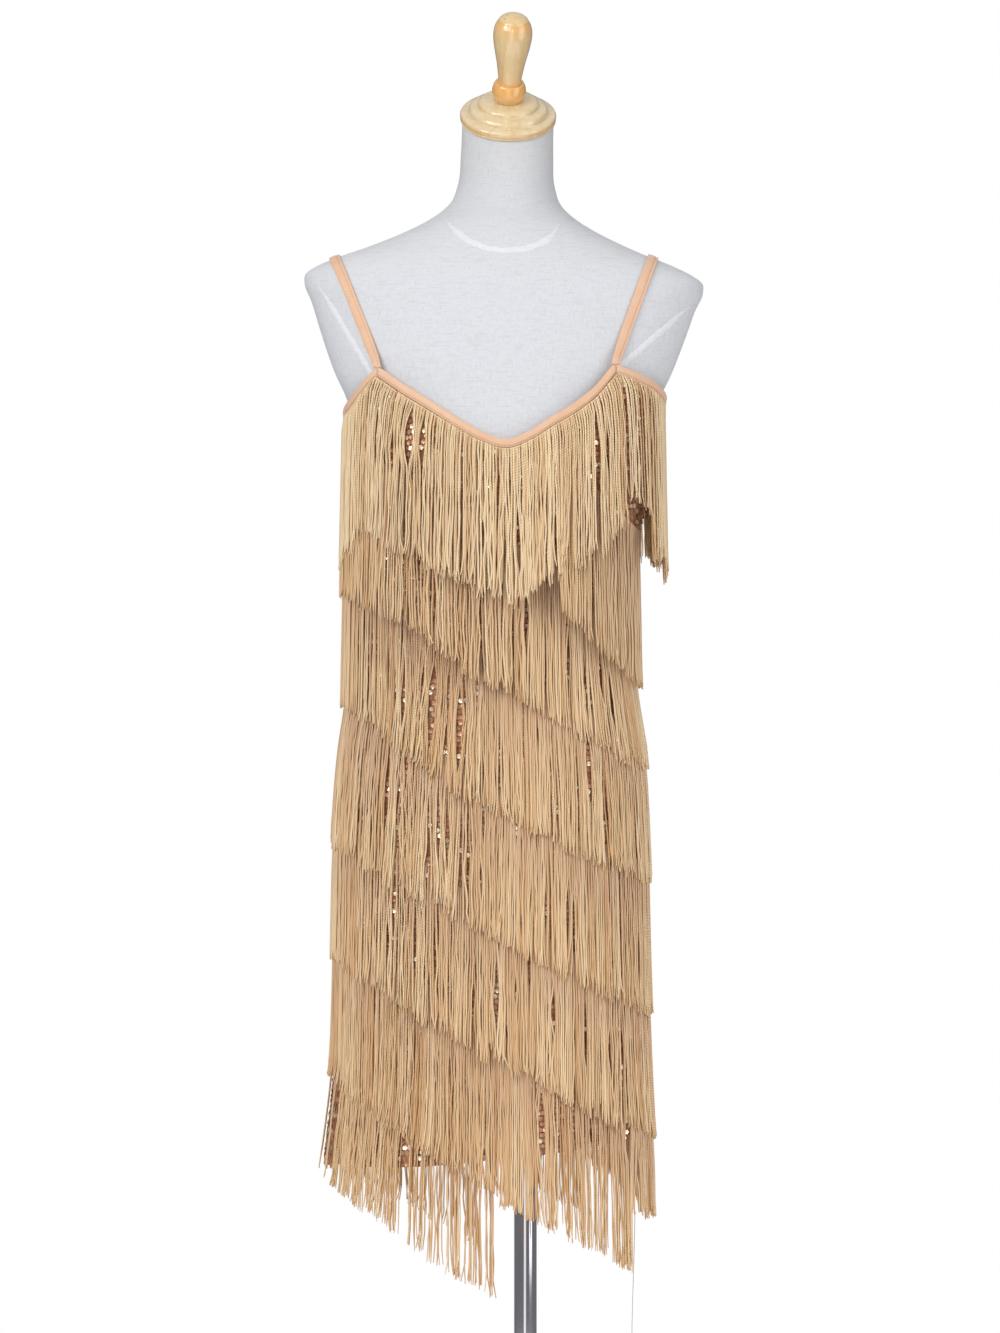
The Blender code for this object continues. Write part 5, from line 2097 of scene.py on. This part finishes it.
@dataclass
class Fringe:
    """All eight lengths of fringe: one under the top edge, and seven slanted rows."""

    tube: DressTube
    clear_of_top: float = 0.012
    clear_of_hem: float = 0.004
    tape_width: float = 0.008
    inset: float = 0.07
    # The top row is painted lighter and the lowest rows darker: painted light and painted shade.
    top_lay: ThreadLay = ThreadLay(0.0009, 0.020, ragged=0.0038, gather=(0.0, 0.20), painted_shade_shift=-0.32)
    top_drop: float = 0.146
    row_drop: float = 0.150
    under_edge: float = 0.0006
    seed: int = 40
    low_from: int = 6
    gap_every: float = 0.045
    low_gap_every: float = 0.20
    row_lay: ThreadLay = ThreadLay(0.0002, 0.022)
    low_lay: ThreadLay = ThreadLay(
        0.0002, 0.018, rings=(10, 11, 12, 15), pitch=0.0028, layer_step=0.0006, gather=(0.0, 0.08),
        lock=(0.005, 0.018), radius=0.00076, painted_shade_shift=0.10, ragged=0.0024,
    )
    low_drops: dict[int, float] = field(default_factory=lambda: {6: 0.161, 7: 0.157})
    strap_fans: tuple[Fan, ...] = (
        Fan(2.7, 1.6, -0.0070, 0.028),
        Fan(13.4, 1.3, 0.0050, 0.028),
        Fan(18.6, 1.3, -0.0060, 0.028),
        Fan(29.3, 1.3, 0.0060, 0.028),
    )
    # At the right seam the threads are longer, and just in front of it a few are short and sparse.
    top_stretches: tuple[Stretch, ...] = (
        Stretch(15.2, 1.15, keep=1.0, cut=-0.020), Stretch(13.5, 0.55, keep=0.6, cut=0.022)
    )
    # Where the threads part so far that the sequins glint through.
    partings: dict[int, tuple[Gap, ...]] = field(
        default_factory=lambda: {
            0: (
                Gap(4.55, 0.20, 0.0046, 0.004, 0.060), Gap(5.0, 0.14, 0.0036, 0.010, 0.050),
                Gap(11.75, 0.18, 0.0036, 0.010, 0.085), Gap(8.4, 0.14, 0.0030, 0.060, 0.070),
            ),
            2: (Gap(11.2, 0.20, 0.0044, 0.040, 0.095), Gap(9.0, 0.16, 0.0032, 0.030, 0.070)),
            3: (
                Gap(3.7, 0.18, 0.0040, 0.045, 0.085), Gap(4.9, 0.22, 0.0046, 0.040, 0.090),
                Gap(6.1, 0.20, 0.0044, 0.045, 0.085), Gap(12.1, 0.18, 0.0042, 0.020, 0.080),
            ),
            4: (Gap(11.0, 0.16, 0.0034, 0.050, 0.080),),
            5: (Gap(7.6, 0.15, 0.0034, 0.040, 0.090),),
            6: (Gap(9.7, 0.20, 0.0042, 0.030, 0.085), Gap(13.9, 0.18, 0.0040, 0.000, 0.060)),
        }
    )
    # The hem shows bare at the left seam, and the threads below it are sparse.
    low_stretches: dict[int, tuple[Stretch, ...]] = field(
        default_factory=lambda: {
            6: (Stretch(11.3, 2.0, keep=0.5), Stretch(25.0, 4.0, keep=0.6), Stretch(17.5, 3.5, 0.9, 0.058)),
            7: (Stretch(5.9, 2.1, keep=0.40), Stretch(25.0, 5.0, keep=0.5), Stretch(0.1, 1.1, keep=0.04)),
        }
    )
    rows: tuple[Row, ...] = (
        Row(1.160, 0.92, 0.00),
        Row(1.032, 0.62, 0.00),
        Row(0.910, 0.60, 0.70),
        Row(0.785, 0.57, 0.30),
        Row(0.667, 0.59, 0.08),
        Row(0.546, 0.63, 0.26),
        Row(0.440, 0.71, 0.00),
    )

    def build(self) -> list[Object]:
        """Builds every length.

        Returns:
            The pieces, from the top edge down.
        """
        made = [
            FringeLength(
                self.tube, "top_threads", "fringe_top", lambda u: self.tube.top(u) - self.under_edge,
                0.0, float(COLUMNS), self.top_lay, self.seed, self.strap_fans, self.top_stretches,
                self.partings[0], TOP_RAYON, header=True, drop=self.top_drop,
            ).build()
        ]
        for number, row in enumerate(self.rows, 1):
            edge = self.slanted(row)
            first, last = self.run(edge)
            lay = self.row_lay if number < self.low_from else self.low_lay
            made.append(
                FringeLength(
                    self.tube, f"row_{number}_threads", f"fringe_row_{number}", edge,
                    first, last, lay, self.seed + number,
                    stretches=self.low_stretches.get(number, ()),
                    partings=self.partings.get(number, ()),
                    drop=self.low_drops.get(number, self.row_drop),
                    gap_every=self.gap_every if number < self.low_from else self.low_gap_every,
                ).build()
            )
        return made

    def slanted(self, row: Row) -> Callable[[Any], np.ndarray]:
        """Works out how a slanted row runs.

        Args:
            row: The row.

        Returns:
            The function that gives the height of its tape at a column.
        """

        def height(u: Any) -> np.ndarray:
            """The tape's height.

            Args:
                u: Columns, one or an array.

            Returns:
                The heights there.
            """
            level = np.full(np.shape(u), row.height)
            for _ in range(8):
                x = AXIS_X + self.tube.reach(u, level) * np.cos(self.tube.angle(u))
                level = row.height - row.slant * x + row.bend * x**2
            return level

        return height

    def run(self, edge: Callable[[Any], np.ndarray]) -> tuple[float, float]:
        """The columns in which a row's tape lies clear of the top edge and of the hem.

        Args:
            edge: The function for the tape's height.

        Returns:
            The first and the last column, a whole turn apart where the row runs all round.
        """
        marks = np.arange(COLUMNS, dtype=float)
        height = edge(marks)
        clear = (height <= self.tube.top(marks) - self.clear_of_top) & (
            height - self.tape_width >= self.tube.hem(marks) + self.clear_of_hem
        )
        good = clear & np.roll(clear, -1)
        if good.all():
            return 0.0, float(COLUMNS)
        start = next(c for c in range(COLUMNS) if good[c] and not good[c - 1])
        length = 0
        while good[(start + length) % COLUMNS]:
            length += 1
        last = float(start + length)
        # The tape runs on to where it meets the hem, which is seldom on a column.
        while edge(np.array(last)) - self.tape_width > self.tube.hem(last) + self.clear_of_hem and (
            last < start + length + 0.5
        ):
            last += 0.05
        return start + self.inset, last - self.inset


@dataclass
class LooseThread:
    """The one long sewing thread that hangs from the hem on the right."""

    top: tuple[float, float, float] = (0.1075, -0.052, 0.432)
    length: float = 0.205
    radius: float = 0.00032

    def build(self) -> Object:
        """Builds the thread as one thin tube.

        Returns:
            The new piece.
        """
        t = np.linspace(0, 1, 24)
        x = self.top[0] + 0.0010 * np.sin(5 * t) - 0.0016 * t
        y = self.top[1] + 0.0008 * np.sin(4 * t + 1)
        middle = np.stack([x, y, self.top[2] - self.length * t], axis=-1)
        turns = ring_turns(6)
        ring = level_way(turns) * self.radius
        draft = MeshDraft()
        draft.add((middle[:, None] + ring[None]).reshape(-1, 3), net_faces(24, 6, True)[:, ::-1])
        made = draft.finish("loose_sewing_thread", LOOSE_END)
        return made


class Softbox(NamedTuple):
    """A light: its name, where it hangs, its width and height in metres, and its power in watts."""

    name: str
    place: tuple[float, float, float]
    size: tuple[float, float]
    power: float


@dataclass
class Studio:
    """The pale floor, the soft lights and the camera."""

    floor_radius: float = 1.15
    softboxes: tuple[Softbox, ...] = (
        Softbox("key_softbox", (-1.7, -2.7, 2.5), (2.1, 2.1), 40.5),
        Softbox("small_softbox", (-2.1, -1.9, 2.4), (0.8, 0.8), 15.0),
        Softbox("front_flash", (-0.20, -3.6, 1.50), (0.20, 0.20), 3.0),
        Softbox("left_softbox", (-2.2, -0.9, 1.3), (1.2, 2.2), 3.0),
        Softbox("right_softbox", (1.45, -1.05, 1.15), (1.1, 2.4), 13.5),
    )
    aim: tuple[float, float, float] = (0.0, 0.0, 0.95)
    eye: tuple[float, float, float] = (-0.0255, -3.9, 0.98)
    target: tuple[float, float, float] = (-0.0255, 0.0, 0.9055)
    half_view: float = 0.6665
    front_wall: tuple[float, ...] = (0.52, 0.52, 0.53, 1.0)
    back_wall: tuple[float, ...] = (0.13, 0.13, 0.14, 1.0)
    ceiling: tuple[float, ...] = (0.62, 0.62, 0.63, 1.0)
    ground: tuple[float, ...] = (0.20, 0.20, 0.21, 1.0)
    bright_strip: tuple[float, ...] = (1.2, 1.2, 1.2, 1.0)

    def build(self) -> None:
        """Builds the floor, the lights, the surroundings and the camera."""
        bm = bmesh.new()
        bmesh.ops.create_circle(bm, cap_ends=True, segments=96, radius=self.floor_radius)
        mesh = bpy.data.meshes.new("studio_floor")
        bm.to_mesh(mesh)
        bm.free()
        floor = bpy.data.objects.new("studio_floor", mesh)
        floor.location.z = -0.0005
        mesh.materials.append(FLOOR.material())
        bpy.context.scene.collection.objects.link(floor)
        for softbox in self.softboxes:
            self.add_light(softbox)
        self.light_room()
        self.place_camera()
        bpy.context.scene.view_settings.view_transform = "Standard"

    def add_light(self, softbox: Softbox) -> None:
        """Hangs one softbox that faces the middle of the dress.

        Args:
            softbox: The light's name, place, size and power.
        """
        light = bpy.data.lights.new(softbox.name, "AREA")
        light.shape = "RECTANGLE"
        light.size, light.size_y = softbox.size
        light.energy = softbox.power
        made = bpy.data.objects.new(softbox.name, light)
        made.location = softbox.place
        made.rotation_euler = self.facing(softbox.place, self.aim)
        bpy.context.scene.collection.objects.link(made)

    def facing(self, place: Sequence[float], target: Sequence[float]) -> Euler:
        """The turn by which a light or a camera looks from one place to another."""
        return (Vector(target) - Vector(place)).to_track_quat("-Z", "Y").to_euler()

    def light_room(self) -> None:
        """Gives the room its soft light: pale in front and above, and dark at the sides and behind."""
        world = bpy.data.worlds.new("studio_room")
        bpy.context.scene.world = world
        world.use_nodes = True
        tree = world.node_tree
        sky = tree.nodes["Background"]
        way = add_node(tree, "TexCoord")
        axes = add_node(tree, "SeparateXYZ", links={"Vector": way.outputs["Generated"]})
        walls = add_node(tree, "ValToRGB", {"stops": ((0.0, self.front_wall), (0.55, self.back_wall))})
        depth = add_node(
            tree, "MapRange", {"From Min": -1.0, "From Max": 1.0}, {"Value": axes.outputs["Y"]}
        )
        set_node(tree, walls, links={"Fac": depth})
        lower = self.light_floor_beyond(tree, axes, walls)
        above = add_node(
            tree, "MapRange", {"From Min": 0.15, "From Max": 0.8}, {"Value": axes.outputs["Z"]}
        )
        room = add_node(tree, "Mix", {7: self.ceiling}, {0: above, 6: lower})
        seen = add_node(tree, "LightPath")
        shown = add_node(
            tree, "Mix", {7: (1.0, 1.0, 1.0, 1.0)}, {0: seen.outputs["Is Camera Ray"], 6: room}
        )
        set_node(tree, sky, {"Strength": 1.0}, {"Color": shown})

    def light_floor_beyond(self, tree: NodeTree, axes: Node, walls: Node) -> Node:
        """Darkens the room below eye level, but for one bright strip in front.

        Args:
            tree: The world's node tree.
            axes: The node that splits the direction.
            walls: The node that colours the room at eye level.

        Returns:
            The node that colours the room at and below eye level.
        """
        aside = add_node(tree, "Math", {"operation": "ADD", 1: 0.10}, {0: axes.outputs["X"]})
        off = add_node(tree, "Math", {"operation": "ABSOLUTE"}, {0: aside})
        fading = {"From Min": 0.16, "From Max": 0.22, "To Min": 1.0, "To Max": 0.0}
        strip = add_node(tree, "MapRange", fading, {"Value": off})
        in_front = add_node(tree, "Math", {"operation": "LESS_THAN", 1: 0.0}, {0: axes.outputs["Y"]})
        lit = add_node(tree, "Math", {"operation": "MULTIPLY"}, {0: strip, 1: in_front})
        ground = add_node(tree, "Mix", {6: self.ground, 7: self.bright_strip}, {0: lit})
        sinking = {"From Min": -0.08, "From Max": -0.03, "To Min": 1.0, "To Max": 0.0}
        below = add_node(tree, "MapRange", sinking, {"Value": axes.outputs["Z"]})
        return add_node(tree, "Mix", links={0: below, 6: walls, 7: ground})

    def place_camera(self) -> None:
        """Sets the camera where the photograph was taken from."""
        data = bpy.data.cameras.new("photo_camera")
        data.sensor_fit = "VERTICAL"
        data.sensor_height = 36.0
        distance = (Vector(self.target) - Vector(self.eye)).length
        data.lens = 18.0 / (self.half_view / distance)
        camera = bpy.data.objects.new("photo_camera", data)
        camera.location = self.eye
        camera.rotation_euler = self.facing(self.eye, self.target)
        bpy.context.scene.collection.objects.link(camera)
        bpy.context.scene.camera = camera


def main() -> None:
    """Builds the studio, the stand, the form and the dress, in that order."""
    logging.basicConfig(level=logging.INFO, format="%(name)s: %(message)s")
    Studio().build()
    Stand().build()
    form = DressForm()
    form.build()
    tube = DressTube()
    lining = Lining(tube)
    shells, sequins = lining.build()
    trims = Bindings(tube, form).build()
    threads = Fringe(tube).build()
    loose = LooseThread().build()


if __name__ == "__main__":
    main()
